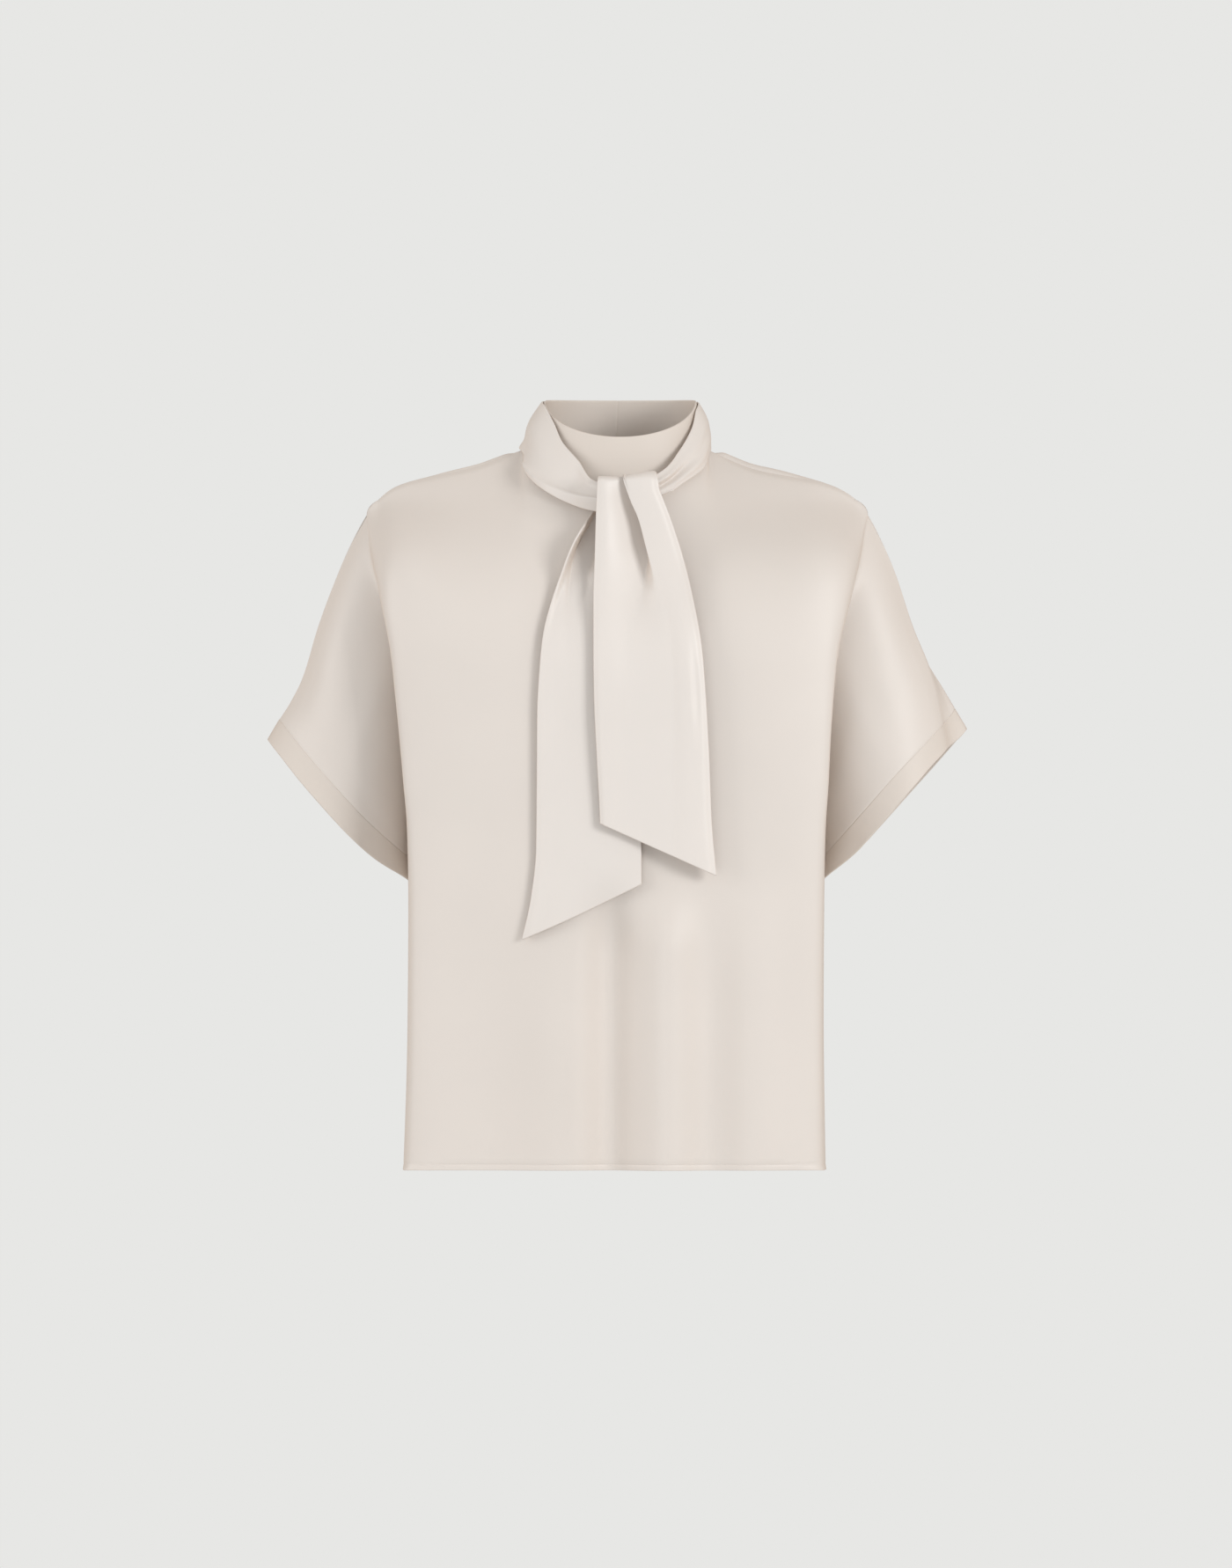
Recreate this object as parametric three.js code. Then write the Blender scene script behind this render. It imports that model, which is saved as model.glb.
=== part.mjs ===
// A short-sleeved satin blouse with a mock-neck collar and a scarf tied round it.
// Units are millimetres: -Y is the front and +Z up. Left and right are as seen from the
// front, so +X is the right side. The origin lies between the two points where the
// shoulder seams meet the collar. Each piece of cloth is a thin wall on a grid of points.
// Pieces that are sewn together share the points of their seam, and each one stops half
// a seam gap short of it.
import * as THREE from 'three';

// ---- Cloth -----------------------------------------------------------------
const CLOTH = 1.6;             // wall of the body cloth
const DOUBLED = 2.2;           // wall of a doubled piece: bands, collar, scarf
const HALF_GAP = 0.4;          // each piece stops this far from a shared seam
const LAY_GAP = 1.2;           // between cloth that lies on other cloth

// ---- Grid: cells counted from the left sleeve hem to the right one ----------
const SLEEVE_CELLS = 6;        // sleeve hem to the crease at the armhole
const FOLD_CELLS = 2;          // crease to the crest of the drape fold
const SHOULDER_CELLS = 5;      // crest to the shoulder's neck point
const NECK_CELLS = 14;         // across the neck
const UPPER_ROWS = 10;         // shoulder to underarm
const LOWER_ROWS = 7;          // underarm to hem
const RIDGE_ROW = 0.15;        // one more row just behind the shoulder seam
const SLEEVE_END = SLEEVE_CELLS;
const CREST = SLEEVE_END + FOLD_CELLS;
const NECK_START = CREST + SHOULDER_CELLS;
const COLUMNS = 2 * NECK_START + NECK_CELLS;
const MIDDLE = COLUMNS / 2;
const UPPER_LINES = [0, RIDGE_ROW];
for (let row = 1; row <= UPPER_ROWS; row += 1) UPPER_LINES.push(row);
const LINES = [...UPPER_LINES];
for (let row = 1; row <= LOWER_ROWS; row += 1) LINES.push(UPPER_ROWS + row);

// ---- Heights ----------------------------------------------------------------
const UNDERARM_Z = -318;
const HEM_Z = -607;

// ---- Neck seam and collar -----------------------------------------------------
const NECK = { half: 78, middleY: -8, front: 64, back: 66, z: -1, frontDrop: 43, backDrop: 8 };
const COLLAR_TOP = { x: 4, half: 64.5, middleY: -5, front: 52, back: 56, z: 41, frontDrop: 33 };
const COLLAR_ROWS = 3;
const COLLAR_LEAN = 0.55;      // below 1 the collar flares only near its base
const COLLAR_DIP_EASE = 0.03;  // rounds the start of the front's dip
const NECK_DIP_POWER = 1.3;    // above 1 the neck seam dips more near the centre front
const SLIT_HALF = 0.6;         // half width of the slit at the centre back
const SLIT_ROWS = 4;           // rows of the back that the slit runs down

// ---- Seam along the shoulder and over the arm, from the neck outwards ----------
// Distance out, height and depth; the two arms hang a little differently.
const OVERARM_LEFT = [
  { x: 78, y: -8, z: -1 }, { x: 97, y: -9, z: -8 }, { x: 118, y: -9, z: -15.5 },
  { x: 149, y: -9, z: -22.5 }, { x: 172, y: -9, z: -27.5 }, { x: 187, y: -9, z: -33 },
  { x: 200, y: -9, z: -43 }, { x: 210, y: -9, z: -56 }, { x: 223.5, y: -9, z: -81 },
  { x: 234.5, y: -9, z: -106 }, { x: 251, y: -8, z: -150 }, { x: 264.5, y: -6, z: -194 },
  { x: 275, y: -3, z: -215 }, { x: 284, y: -2, z: -229 },
];
const OVERARM_RIGHT = [
  { x: 78, y: -8, z: -1 }, { x: 97, y: -9, z: -10 }, { x: 118, y: -10, z: -18 },
  { x: 149, y: -10, z: -24 }, { x: 172, y: -10, z: -28 }, { x: 188, y: -10, z: -33.5 },
  { x: 202, y: -10, z: -42.5 }, { x: 213, y: -10, z: -56 }, { x: 226, y: -10, z: -81 },
  { x: 236.5, y: -10, z: -106 }, { x: 251, y: -12, z: -150 }, { x: 264, y: -14, z: -183 },
  { x: 271, y: -15, z: -206 }, { x: 277, y: -16, z: -233 },
];
const SHOULDER_POINT = 6;      // row of those tables where the shoulder ends
const ARM_START = 7;           // row where the armhole crease begins

// ---- Line of the sleeve's end, from over the arm to under it -------------------
const SLEEVE_LINE_LEFT = [
  { x: 284, z: -229 }, { x: 273, z: -243 }, { x: 259, z: -260 }, { x: 237, z: -285 },
  { x: 215, z: -309 }, { x: 194, z: -329 }, { x: 172.5, z: -347 },
];
const SLEEVE_LINE_RIGHT = [
  { x: 277, z: -233 }, { x: 257, z: -254 }, { x: 236, z: -276 }, { x: 214, z: -301 },
  { x: 193, z: -325 }, { x: 173, z: -347 },
];
// The same line on the back of the sleeve, which reaches further out over the arm.
const SLEEVE_LINE_BACK_LEFT = [
  { x: 284, z: -229 }, { x: 271, z: -241 }, { x: 235, z: -281 }, { x: 194, z: -327 },
  { x: 172.5, z: -347 },
];
const SLEEVE_LINE_BACK_RIGHT = [
  { x: 277, z: -233 }, { x: 284, z: -225 }, { x: 287, z: -220 }, { x: 280, z: -228 },
  { x: 236, z: -277 }, { x: 194, z: -324 }, { x: 173, z: -347 },
];
// The band turns to hang straight down over the part of the opening that is under the arm.
const SLEEVE_BAND = { width: 19, cells: 2, lean: -0.06, squeeze: 0.3, under: 0.75 };
const SLEEVE_FULL = 46;        // how far the sleeve stands out to front and back
const SLEEVE_HOLD = 2;         // above 1 the sleeve keeps the crease's form for longer
const SLEEVE_ROUND = 0.6;      // below 1 the sleeve's opening is fuller at its ends
const SLEEVE_BULGE = 8;        // and its middle stands out this much more

// ---- Drape fold in front of the armhole: crest, then crease behind it ----------
const FRONT_CREST = [
  { z: -44, left: 200, right: 202, depth: 9 }, { z: -75, left: 202, right: 205, depth: 50 },
  { z: -97, left: 200, right: 202, depth: 68 }, { z: -130, left: 195, right: 193, depth: 80 },
  { z: -160, left: 190, right: 188, depth: 86 }, { z: -200, left: 186, right: 184, depth: 89 },
  { z: -240, left: 182, right: 181, depth: 91 }, { z: -290, left: 177.5, right: 178.5, depth: 91 },
  { z: -318, left: 175.5, right: 177, depth: 90 }, { z: -400, left: 174, right: 175.5, depth: 88 },
  { z: -500, left: 174.5, right: 174.5, depth: 85 }, { z: -607, left: 178, right: 175.5, depth: 82 },
];
const BACK_CREST = [
  { z: -44, left: 200, right: 202, depth: 9 }, { z: -75, left: 201, right: 204, depth: 40 },
  { z: -97, left: 197, right: 200, depth: 53 }, { z: -130, left: 190, right: 189, depth: 63 },
  { z: -160, left: 185, right: 184, depth: 69 }, { z: -200, left: 180, right: 179, depth: 73 },
  { z: -240, left: 176, right: 176, depth: 74 }, { z: -290, left: 172, right: 173, depth: 72 },
  { z: -318, left: 171, right: 172, depth: 71 }, { z: -400, left: 170, right: 171, depth: 70 },
  { z: -500, left: 172, right: 171, depth: 69 }, { z: -607, left: 175, right: 173, depth: 67 },
];
const CREASE = [
  { z: -56, out: 208, depth: 9 }, { z: -75, out: 208, depth: 26 }, { z: -97, out: 204, depth: 36 },
  { z: -130, out: 191, depth: 41 }, { z: -160, out: 182, depth: 41 }, { z: -200, out: 175, depth: 36 },
  { z: -240, out: 171, depth: 27 }, { z: -290, out: 168, depth: 11 }, { z: -318, out: 168, depth: 0 },
  { z: -400, out: 170, depth: 0 }, { z: -500, out: 172, depth: 0 }, { z: -607, out: 175, depth: 0 },
];
const CREASE_START = 19;       // height over which the crease leaves the seam

// ---- How far front and back stand out at the middle ------------------------------
const FRONT_DEPTH = [
  { z: -44, depth: 96 }, { z: -120, depth: 108 }, { z: -190, depth: 114 }, { z: -318, depth: 112 },
  { z: -450, depth: 108 }, { z: -607, depth: 106 },
];
const BACK_DEPTH = [
  { z: -10, depth: 84 }, { z: -90, depth: 96 }, { z: -160, depth: 101 }, { z: -318, depth: 97 },
  { z: -450, depth: 100 }, { z: -607, depth: 104 },
];
const SHELL_POWER = 0.68;      // below 1 makes the front and back flatter, the sides rounder
const CHEST_RUN = 165;         // drop over which the chest reaches its full depth
const CREST_RUN = 58;          // and the same out at the drape fold's crest
const CHEST_EASE = 2.2;        // above 1 it fills out soon below the seam
const SWING_RUN = 150;         // and over which its columns swing out to their bearings
const NECK_BEARING = 0.5;      // bearing of the column that starts at the neck point
// Rounding of the shoulder just below its seam: how far out, over what drop it comes
// and goes, and the bearing over which it comes in.
const SHOULDER_ROUND = { out: 2.4, run: 4.5, fade: 35, bearing: 0.3 };
// The back rolls up over the shoulder seam: its rise at the ridge row, how fast it comes
// in from the neck point and goes out past the shoulder, and the rows over which it fades.
const RIDGE = { left: 5.4, right: 8.2, start: 8, end: 0.4, going: 0.6, fade: 0.8 };
const WALL_BULGE = 2.2;        // the cloth between crest and crease stands out this far
const WALL_ROWS = 3;           // rows over which that grows

// ---- Soft folds that hang to the hem: place, half width, depth and top ------------
const FRONT_FOLDS = [
  { x: -8, spread: 24, depth: -6, top: -350, full: -425 },
  { x: 40, spread: 25, depth: 6, top: -350, full: -425 },
  { x: -112, spread: 34, depth: -4, top: -330, full: -470 },
  { x: -48, spread: 25, depth: 2, top: -340, full: -460 },
  { x: 80, spread: 22, depth: -2.5, top: -330, full: -470 },
  { x: 116, spread: 24, depth: 3.5, top: -300, full: -470 },
];
const BACK_FOLDS = [
  { x: -52, spread: 28, depth: -5, top: -220, full: -480 },
  { x: -100, spread: 30, depth: 4, top: -280, full: -520 },
  { x: 44, spread: 26, depth: -4, top: -260, full: -560 },
  { x: 98, spread: 32, depth: -4, top: -200, full: -470 },
];

// ---- Scarf: the stretch round the neck, from the knot round the back and home ------
// Turn about the neck, then distance out of the collar and height of both edges, and how
// much further out the middle of its width stands.
const WRAP = [
  { turn: -4, topOut: 27, topZ: -33, lowOut: 22, lowZ: -56, bulge: 1.5 },
  { turn: -14, topOut: 20, topZ: -28, lowOut: 18, lowZ: -53, bulge: 1.5 },
  { turn: -26, topOut: 10, topZ: -12, lowOut: 13, lowZ: -47, bulge: 1.5 },
  { turn: -42, topOut: 6, topZ: 4, lowOut: 12, lowZ: -36, bulge: 1.8 },
  { turn: -58, topOut: 3.4, topZ: 22, lowOut: 10, lowZ: -23, bulge: 3 },
  { turn: -78, topOut: 3, topZ: 36, lowOut: 6.5, lowZ: -4, bulge: 4 },
  { turn: -100, topOut: 3, topZ: 39, lowOut: 6, lowZ: 2.5, bulge: 4 },
  { turn: -130, topOut: 3, topZ: 38.5, lowOut: 5.5, lowZ: -1, bulge: 3 },
  { turn: -160, topOut: 3.2, topZ: 38, lowOut: 5, lowZ: -6, bulge: 1.5 },
  { turn: -180, topOut: 3.2, topZ: 38, lowOut: 5, lowZ: -7, bulge: 1.5 },
  { turn: -200, topOut: 3.2, topZ: 38, lowOut: 5, lowZ: -6, bulge: 1.5 },
  { turn: -230, topOut: 3, topZ: 38.5, lowOut: 5.5, lowZ: -1, bulge: 3 },
  { turn: -260, topOut: 3, topZ: 38.5, lowOut: 6, lowZ: 2.5, bulge: 4 },
  { turn: -282, topOut: 3.2, topZ: 32, lowOut: 6.5, lowZ: -4, bulge: 4 },
  { turn: -300, topOut: 5, topZ: 16, lowOut: 9, lowZ: -17, bulge: 3 },
  { turn: -318, topOut: 9, topZ: -3, lowOut: 13, lowZ: -28, bulge: 1.8 },
  { turn: -332, topOut: 17, topZ: -18, lowOut: 17, lowZ: -38, bulge: 1.5 },
  { turn: -346, topOut: 26, topZ: -29, lowOut: 21, lowZ: -47, bulge: 1.5 },
];
const WRAP_CELLS = 4;
const WRAP_STEPS = 34;

// ---- Scarf: the tails, edge to edge at each height ---------------------------------
// The front tail ends along a slant that falls to the right, the back tail to the left.
const FRONT_TAIL = [
  { z: -36, left: -15, right: 36 }, { z: -63, left: -16, right: 46 }, { z: -97, left: -17, right: 56.5 },
  { z: -128, left: -18, right: 64 }, { z: -173, left: -18, right: 72 }, { z: -210, left: -17.5, right: 75 },
  { z: -264, left: -15, right: 78 }, { z: -315, left: -12.5, right: 80 }, { z: -360, left: -12, right: 84 },
];
const FRONT_TAIL_END = { left: -315, right: -359 };
const BACK_TAIL = [
  { z: -58, left: -26, right: -3 }, { z: -81, left: -34.5, right: 2 }, { z: -102, left: -43, right: 5 },
  { z: -130, left: -53, right: 9 }, { z: -158, left: -60, right: 12 }, { z: -186, left: -63, right: 15 },
  { z: -223, left: -65, right: 18 }, { z: -298, left: -65.5, right: 20 }, { z: -339, left: -66, right: 21 },
  { z: -380, left: -70.5, right: 21 }, { z: -414, left: -78, right: 21 },
];
const BACK_TAIL_END = { left: -413, right: -367 };
const TAIL_CELLS = 8;
const TAIL_ROWS = 12;
const TAIL_HANG = { front: 106, back: 99 };   // depth at which the tails hang from the knot
const FRONT_TAIL_PLEAT = { at: 0.42, width: 0.2, depth: 6, end: -200 };
const BACK_TAIL_PLEAT = { at: 0.45, width: 0.3, depth: 5, end: -170 };

// ---- Scarf: the turn over the knot, from behind it over the top to the front ---------
const KNOT_TURN = [
  { y: -77, z: -42, left: -6, right: 18 }, { y: -79, z: -32, left: -9, right: 20 },
  { y: -87, z: -24.5, left: -12, right: 25 }, { y: -98, z: -23.5, left: -14, right: 33 },
  { y: -105, z: -28, left: -14.5, right: 35 }, { y: -106, z: -35.5, left: -15, right: 36 },
];
const KNOT_CELLS = 6;
const KNOT_ROWS = 8;

// ---- Back closure --------------------------------------------------------------------
const BUTTON = { radius: 4.5, thick: 2.4, fromSlit: 5.6, down: 0.32, clear: 0.35, segments: 20 };
const LOOP = {
  thread: 0.45, clear: 0.35, root: -3.2, spread: 3.2, turn: 1.95, bends: 10, sides: 8, steps: 18,
};

// ---- Finishes --------------------------------------------------------------------------
const SATIN = { color: 0xe2dad1, roughness: 0.42, metalness: 0 };
const SCARF_SATIN = { color: 0xe6e0d8, roughness: 0.38, metalness: 0 };
const BUTTON_FINISH = { color: 0xded6cc, roughness: 0.35, metalness: 0 };

const vec = (x, y, z) => new THREE.Vector3(x, y, z);
const mix = THREE.MathUtils.lerp;
const clamp01 = (t) => Math.min(1, Math.max(0, t));
const smooth = (t) => clamp01(t) ** 2 * (3 - 2 * clamp01(t));

// Smooth curve through the knots (at, value), with no overshoot between them.
function curveThrough(at, value, where) {
  const last = at.length - 1;
  const w = Math.min(Math.max(where, at[0]), at[last]);
  let k = 0;
  while (k < last - 1 && w > at[k + 1]) k += 1;
  const slope = (a) => (value[a + 1] - value[a]) / (at[a + 1] - at[a]);
  const tangent = (a) => {
    if (a === 0) return slope(0);
    if (a === last) return slope(last - 1);
    const before = slope(a - 1);
    const after = slope(a);
    if (before * after <= 0) return 0;
    return 2 * before * after / (before + after);
  };
  const span = at[k + 1] - at[k];
  const t = (w - at[k]) / span;
  const start = (1 + 2 * t) * (1 - t) ** 2 * value[k] + t * (1 - t) ** 2 * span * tangent(k);
  const end = t * t * (3 - 2 * t) * value[k + 1] + t * t * (t - 1) * span * tangent(k + 1);
  return start + end;
}

// Value of one column of a table whose rows go down in height.
function atHeight(table, column, z) {
  return curveThrough(table.map((row) => -row.z), table.map((row) => row[column]), -z);
}

// Point of the line through a table's rows, at a share t of its length between two rows.
function alongLine(table, t, from = 0, to = table.length - 1) {
  const run = [0];
  for (let k = 1; k < table.length; k += 1) {
    const a = table[k - 1];
    const b = table[k];
    run.push(run[k - 1] + Math.hypot(b.x - a.x, b.z - a.z, (b.y ?? 0) - (a.y ?? 0)));
  }
  const where = mix(run[from], run[to], t);
  const column = (name) => curveThrough(run, table.map((row) => row[name] ?? 0), where);
  return vec(column('x'), column('y'), column('z'));
}

// Neck seam: angle 0 at the centre front, a right angle at the shoulder, pi at the back.
function neckPoint(angle) {
  const c = Math.cos(angle);
  const reach = c > 0 ? NECK.front : NECK.back;
  const drop = c > 0 ? NECK.frontDrop * c ** NECK_DIP_POWER : NECK.backDrop * -c;
  return vec(NECK.half * Math.sin(angle), NECK.middleY - reach * c, NECK.z - drop);
}

// Top edge of the collar: level behind, dipping in front.
function collarTop(angle) {
  const c = Math.cos(angle);
  const reach = c > 0 ? COLLAR_TOP.front : COLLAR_TOP.back;
  const dip = (c + Math.sqrt(c * c + COLLAR_DIP_EASE)) / (1 + Math.sqrt(1 + COLLAR_DIP_EASE));
  return vec(
    COLLAR_TOP.x + COLLAR_TOP.half * Math.sin(angle),
    COLLAR_TOP.middleY - reach * c,
    COLLAR_TOP.z - COLLAR_TOP.frontDrop * dip,
  );
}

// The soft folds' push outwards at a place on the front or back.
function foldPush(folds, x, z) {
  let push = 0;
  for (const fold of folds) {
    const across = Math.exp(-(((x - fold.x) / fold.spread) ** 2));
    const down = smooth((fold.top - z) / (fold.top - fold.full));
    push += fold.depth * across * down;
  }
  return push;
}

const FRONT = {
  sign: -1, crest: FRONT_CREST, depth: FRONT_DEPTH, folds: FRONT_FOLDS,
  line: { left: SLEEVE_LINE_LEFT, right: SLEEVE_LINE_RIGHT },
};
const BACK = {
  sign: 1, crest: BACK_CREST, depth: BACK_DEPTH, folds: BACK_FOLDS,
  line: { left: SLEEVE_LINE_BACK_LEFT, right: SLEEVE_LINE_BACK_RIGHT },
};

// Point of the seam over the arm, at a share t of its length between two of its rows.
function overarm(hand, t, from, to) {
  return alongLine(hand === 'left' ? OVERARM_LEFT : OVERARM_RIGHT, t, from, to);
}

// Seam point at the top of a body column. Columns count from the neck's middle (0) out;
// share is 0 at the neck point and 1 at the shoulder point, above 1 towards the crease.
function seamTop(hand, share) {
  if (share <= 1) return overarm(hand, share, 0, SHOULDER_POINT);
  return overarm(hand, share - 1, SHOULDER_POINT, ARM_START);
}

// Rise of the back behind the shoulder seam: up to the ridge row, then fading.
function ridgeLift(side, hand, share, row) {
  if (side.sign < 0) return 0;
  const up = Math.sin((Math.PI / 2) * Math.min(1, row / RIDGE_ROW));
  const fade = row <= RIDGE_ROW ? up : Math.exp((RIDGE_ROW - row) / RIDGE.fade);
  const along = smooth(share * RIDGE.start) * (1 - smooth((share - RIDGE.end) / RIDGE.going));
  return along * RIDGE[hand] * fade;
}

// A point of the body from the neck to the drape fold's crest. top is the column's seam
// point, bearing is 0 at the centre and a right angle at the crest, z the height.
function shellPoint(side, hand, top, bearing, z) {
  const drop = top.z - z;
  const crestX = atHeight(side.crest, hand, z);
  const crestDepth = atHeight(side.crest, 'depth', z);
  const middle = atHeight(side.depth, 'depth', z);
  const reach = mix(Math.abs(top.x), crestX * Math.sin(bearing), smooth(drop / SWING_RUN));
  const full = crestDepth + (middle - crestDepth) * Math.max(0, Math.cos(bearing)) ** SHELL_POWER;
  const outer = smooth((bearing - NECK_BEARING) / (Math.PI / 2 - NECK_BEARING));
  const grown = 1 - (1 - clamp01(drop / mix(CHEST_RUN, CREST_RUN, outer))) ** CHEST_EASE;
  const start = side.sign * top.y;
  const x = (hand === 'left' ? -1 : 1) * reach;
  const beside = smooth((bearing - NECK_BEARING) / SHOULDER_ROUND.bearing);
  const fading = Math.exp(-drop / SHOULDER_ROUND.fade);
  const round = SHOULDER_ROUND.out * smooth(drop / SHOULDER_ROUND.run) * fading * beside;
  const depth = mix(start, full, grown) + round + foldPush(side.folds, x, z);
  return vec(x, side.sign * depth, z);
}

// Bearing of a body column, counted in cells from the centre to the crest.
function bearingOf(cells) {
  const half = NECK_CELLS / 2;
  if (cells <= half) return NECK_BEARING * cells / half;
  return mix(NECK_BEARING, Math.PI / 2, clamp01((cells - half) / SHOULDER_CELLS));
}

// A point of the crease line behind the drape fold, and of the side seam below it.
function creasePoint(side, hand, z) {
  const top = seamTop(hand, 2);
  const going = smooth((top.z - z) / CREASE_START);
  const x = mix(Math.abs(top.x), atHeight(CREASE, 'out', z), going);
  const depth = atHeight(CREASE, 'depth', z);
  const starting = mix(top.y, side.sign * CREASE[1].depth, going);
  const y = z > CREASE[1].z ? starting : side.sign * depth;
  return vec((hand === 'left' ? -1 : 1) * x, y, z);
}

// A point of the sleeve. out runs from the crease to the sleeve's end, down from the
// seam over the arm to the one under it: a patch blended from its four edges.
function sleevePoint(side, hand, out, down) {
  const flip = (p) => (hand === 'left' ? vec(-p.x, p.y, p.z) : p);
  const over = (t) => flip(overarm(hand, t, ARM_START));
  const end = (t) => {
    const p = flip(alongLine(side.line[hand], t));
    const tipY = over(1).y;
    p.y = mix(tipY, 0, t) + side.sign * SLEEVE_FULL * Math.sin(Math.PI * t) ** SLEEVE_ROUND;
    return p;
  };
  const crease = (t) => creasePoint(side, hand, mix(over(0).z, UNDERARM_Z, t));
  const under = (t) => crease(1).lerp(end(1), t);
  const far = out ** SLEEVE_HOLD;
  const edges = over(out).multiplyScalar(1 - down).addScaledVector(under(out), down)
    .addScaledVector(crease(down), 1 - far).addScaledVector(end(down), far);
  const corners = over(0).multiplyScalar((1 - far) * (1 - down)).addScaledVector(over(1), far * (1 - down))
    .addScaledVector(crease(1), (1 - far) * down).addScaledVector(end(1), far * down);
  const point = edges.sub(corners);
  point.y += side.sign * SLEEVE_BULGE * Math.sin(Math.PI * out) * Math.sin(Math.PI * down);
  return point;
}

// Height of a row: evenly down to the underarm, then evenly down to the hem.
function rowHeight(topZ, row) {
  if (row <= UPPER_ROWS) return mix(topZ, UNDERARM_Z, row / UPPER_ROWS);
  return mix(UNDERARM_Z, HEM_Z, (row - UPPER_ROWS) / LOWER_ROWS);
}

// Seam point at the top of a column that is a number of cells out from the middle.
function columnTop(side, hand, cells) {
  const toNeck = NECK_CELLS / 2;
  const beyond = cells - toNeck - SHOULDER_CELLS;
  if (cells <= toNeck) {
    const turn = (Math.PI / 2) * cells / toNeck;
    return neckPoint(side.sign < 0 ? turn : Math.PI - turn);
  }
  if (beyond > 0) return seamTop(hand, 1 + beyond / FOLD_CELLS);
  return seamTop(hand, (cells - toNeck) / SHOULDER_CELLS);
}

// The grid point of the front or back panel at a column and a row.
function panelPoint(side, column, row) {
  const hand = column < MIDDLE ? 'left' : 'right';
  const flip = hand === 'left' ? -1 : 1;
  const cells = Math.abs(column - MIDDLE);
  const toNeck = NECK_CELLS / 2;
  const toCrest = toNeck + SHOULDER_CELLS;
  const toCrease = toCrest + FOLD_CELLS;
  if (cells > toCrease) {
    return sleevePoint(side, hand, (cells - toCrease) / SLEEVE_CELLS, row / UPPER_ROWS);
  }
  if (cells === toCrease) return creasePoint(side, hand, rowHeight(seamTop(hand, 2).z, row));
  const top = columnTop(side, hand, cells);
  if (row === 0) return vec(flip * Math.abs(top.x), top.y, top.z);
  const z = rowHeight(top.z, row);
  const point = shellPoint(side, hand, top, bearingOf(cells), z);
  if (cells > toCrest) {
    point.lerp(creasePoint(side, hand, z), (cells - toCrest) / FOLD_CELLS);
    point.x += flip * WALL_BULGE * smooth(row / WALL_ROWS);
  }
  point.z += ridgeLift(side, hand, (cells - toNeck) / SHOULDER_CELLS, row);
  return point;
}

// A grid of points with the cells that are cloth. outward says which way its face looks.
function makeGrid(columns, rows, pointAt, options = {}) {
  const points = [];
  for (let row = 0; row <= rows; row += 1) {
    for (let column = 0; column <= columns; column += 1) points.push(pointAt(column, row));
  }
  const isCloth = options.isCloth ?? (() => true);
  return { columns, rows, points, isCloth, flip: options.flip ?? false, ring: options.ring ?? false };
}

// A ring's last column of points is its first one.
function indexOf(grid, column, row) {
  const wrapped = grid.ring ? column % grid.columns : column;
  return row * (grid.columns + 1) + wrapped;
}

function eachCell(grid, visit) {
  for (let row = 0; row < grid.rows; row += 1) {
    for (let column = 0; column < grid.columns; column += 1) {
      if (grid.isCloth(column, row)) {
        const a = indexOf(grid, column, row);
        const b = indexOf(grid, column + 1, row);
        const c = indexOf(grid, column + 1, row + 1);
        const d = indexOf(grid, column, row + 1);
        visit(grid.flip ? [a, b, c, d] : [a, d, c, b], column, row);
      }
    }
  }
}

// Normals at the points, and the way from each point into its own cloth: along the
// grid lines that leave the edge, or between the two edges at a corner, where the lines
// that leave it add up to less than this length.
const CORNER_LENGTH = 0.1;
function measure(grid) {
  const normals = grid.points.map(() => vec(0, 0, 0));
  const edges = new Map();
  eachCell(grid, (corners) => {
    const [a, b, c, d] = corners.map((k) => grid.points[k]);
    const normal = c.clone().sub(a).cross(d.clone().sub(b));
    corners.forEach((k, n) => {
      normals[k].add(normal);
      edges.set(`${k},${corners[(n + 1) % 4]}`, [k, corners[(n + 1) % 4]]);
    });
  });
  normals.forEach((normal) => normal.normalize());
  const across = grid.points.map(() => vec(0, 0, 0));
  const along = grid.points.map(() => vec(0, 0, 0));
  for (const [p, q] of edges.values()) {
    const way = grid.points[q].clone().sub(grid.points[p]).normalize();
    if (edges.has(`${q},${p}`)) {
      across[p].add(way);
    } else {
      along[p].add(way);
      along[q].sub(way);
    }
  }
  const inward = grid.points.map((point, k) => (across[k].length() > CORNER_LENGTH ? across[k] : along[k]));
  return { normals, inward };
}

// Points of two pieces are the same seam point when they are this close, in mm.
const SEAM_MATCH = 0.02;
const keyOf = (p) => [p.x, p.y, p.z].map((v) => Math.round(v / SEAM_MATCH)).join(',');

// Pieces sewn together take one shared normal at each seam point, so that their edges
// face each other along it, and each piece stops short of the seam.
function sewTogether(grids) {
  const measured = grids.map(measure);
  const shared = new Map();
  grids.forEach((grid, g) => {
    grid.points.forEach((point, k) => {
      if (measured[g].normals[k].length() === 0) return;
      const entry = shared.get(keyOf(point)) ?? { sum: vec(0, 0, 0), grids: new Set() };
      entry.sum.add(measured[g].normals[k]);
      entry.grids.add(g);
      shared.set(keyOf(point), entry);
    });
  });
  grids.forEach((grid, g) => {
    grid.normals = measured[g].normals;
    grid.points = grid.points.map((point, k) => {
      const entry = shared.get(keyOf(point));
      if (!entry || entry.grids.size < 2 || grid.normals[k].length() === 0) return point;
      const normal = entry.sum.clone().normalize();
      grid.normals[k] = normal;
      const inward = measured[g].inward[k];
      inward.addScaledVector(normal, -inward.dot(normal)).normalize();
      return point.clone().addScaledVector(inward, HALF_GAP);
    });
  });
}

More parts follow.
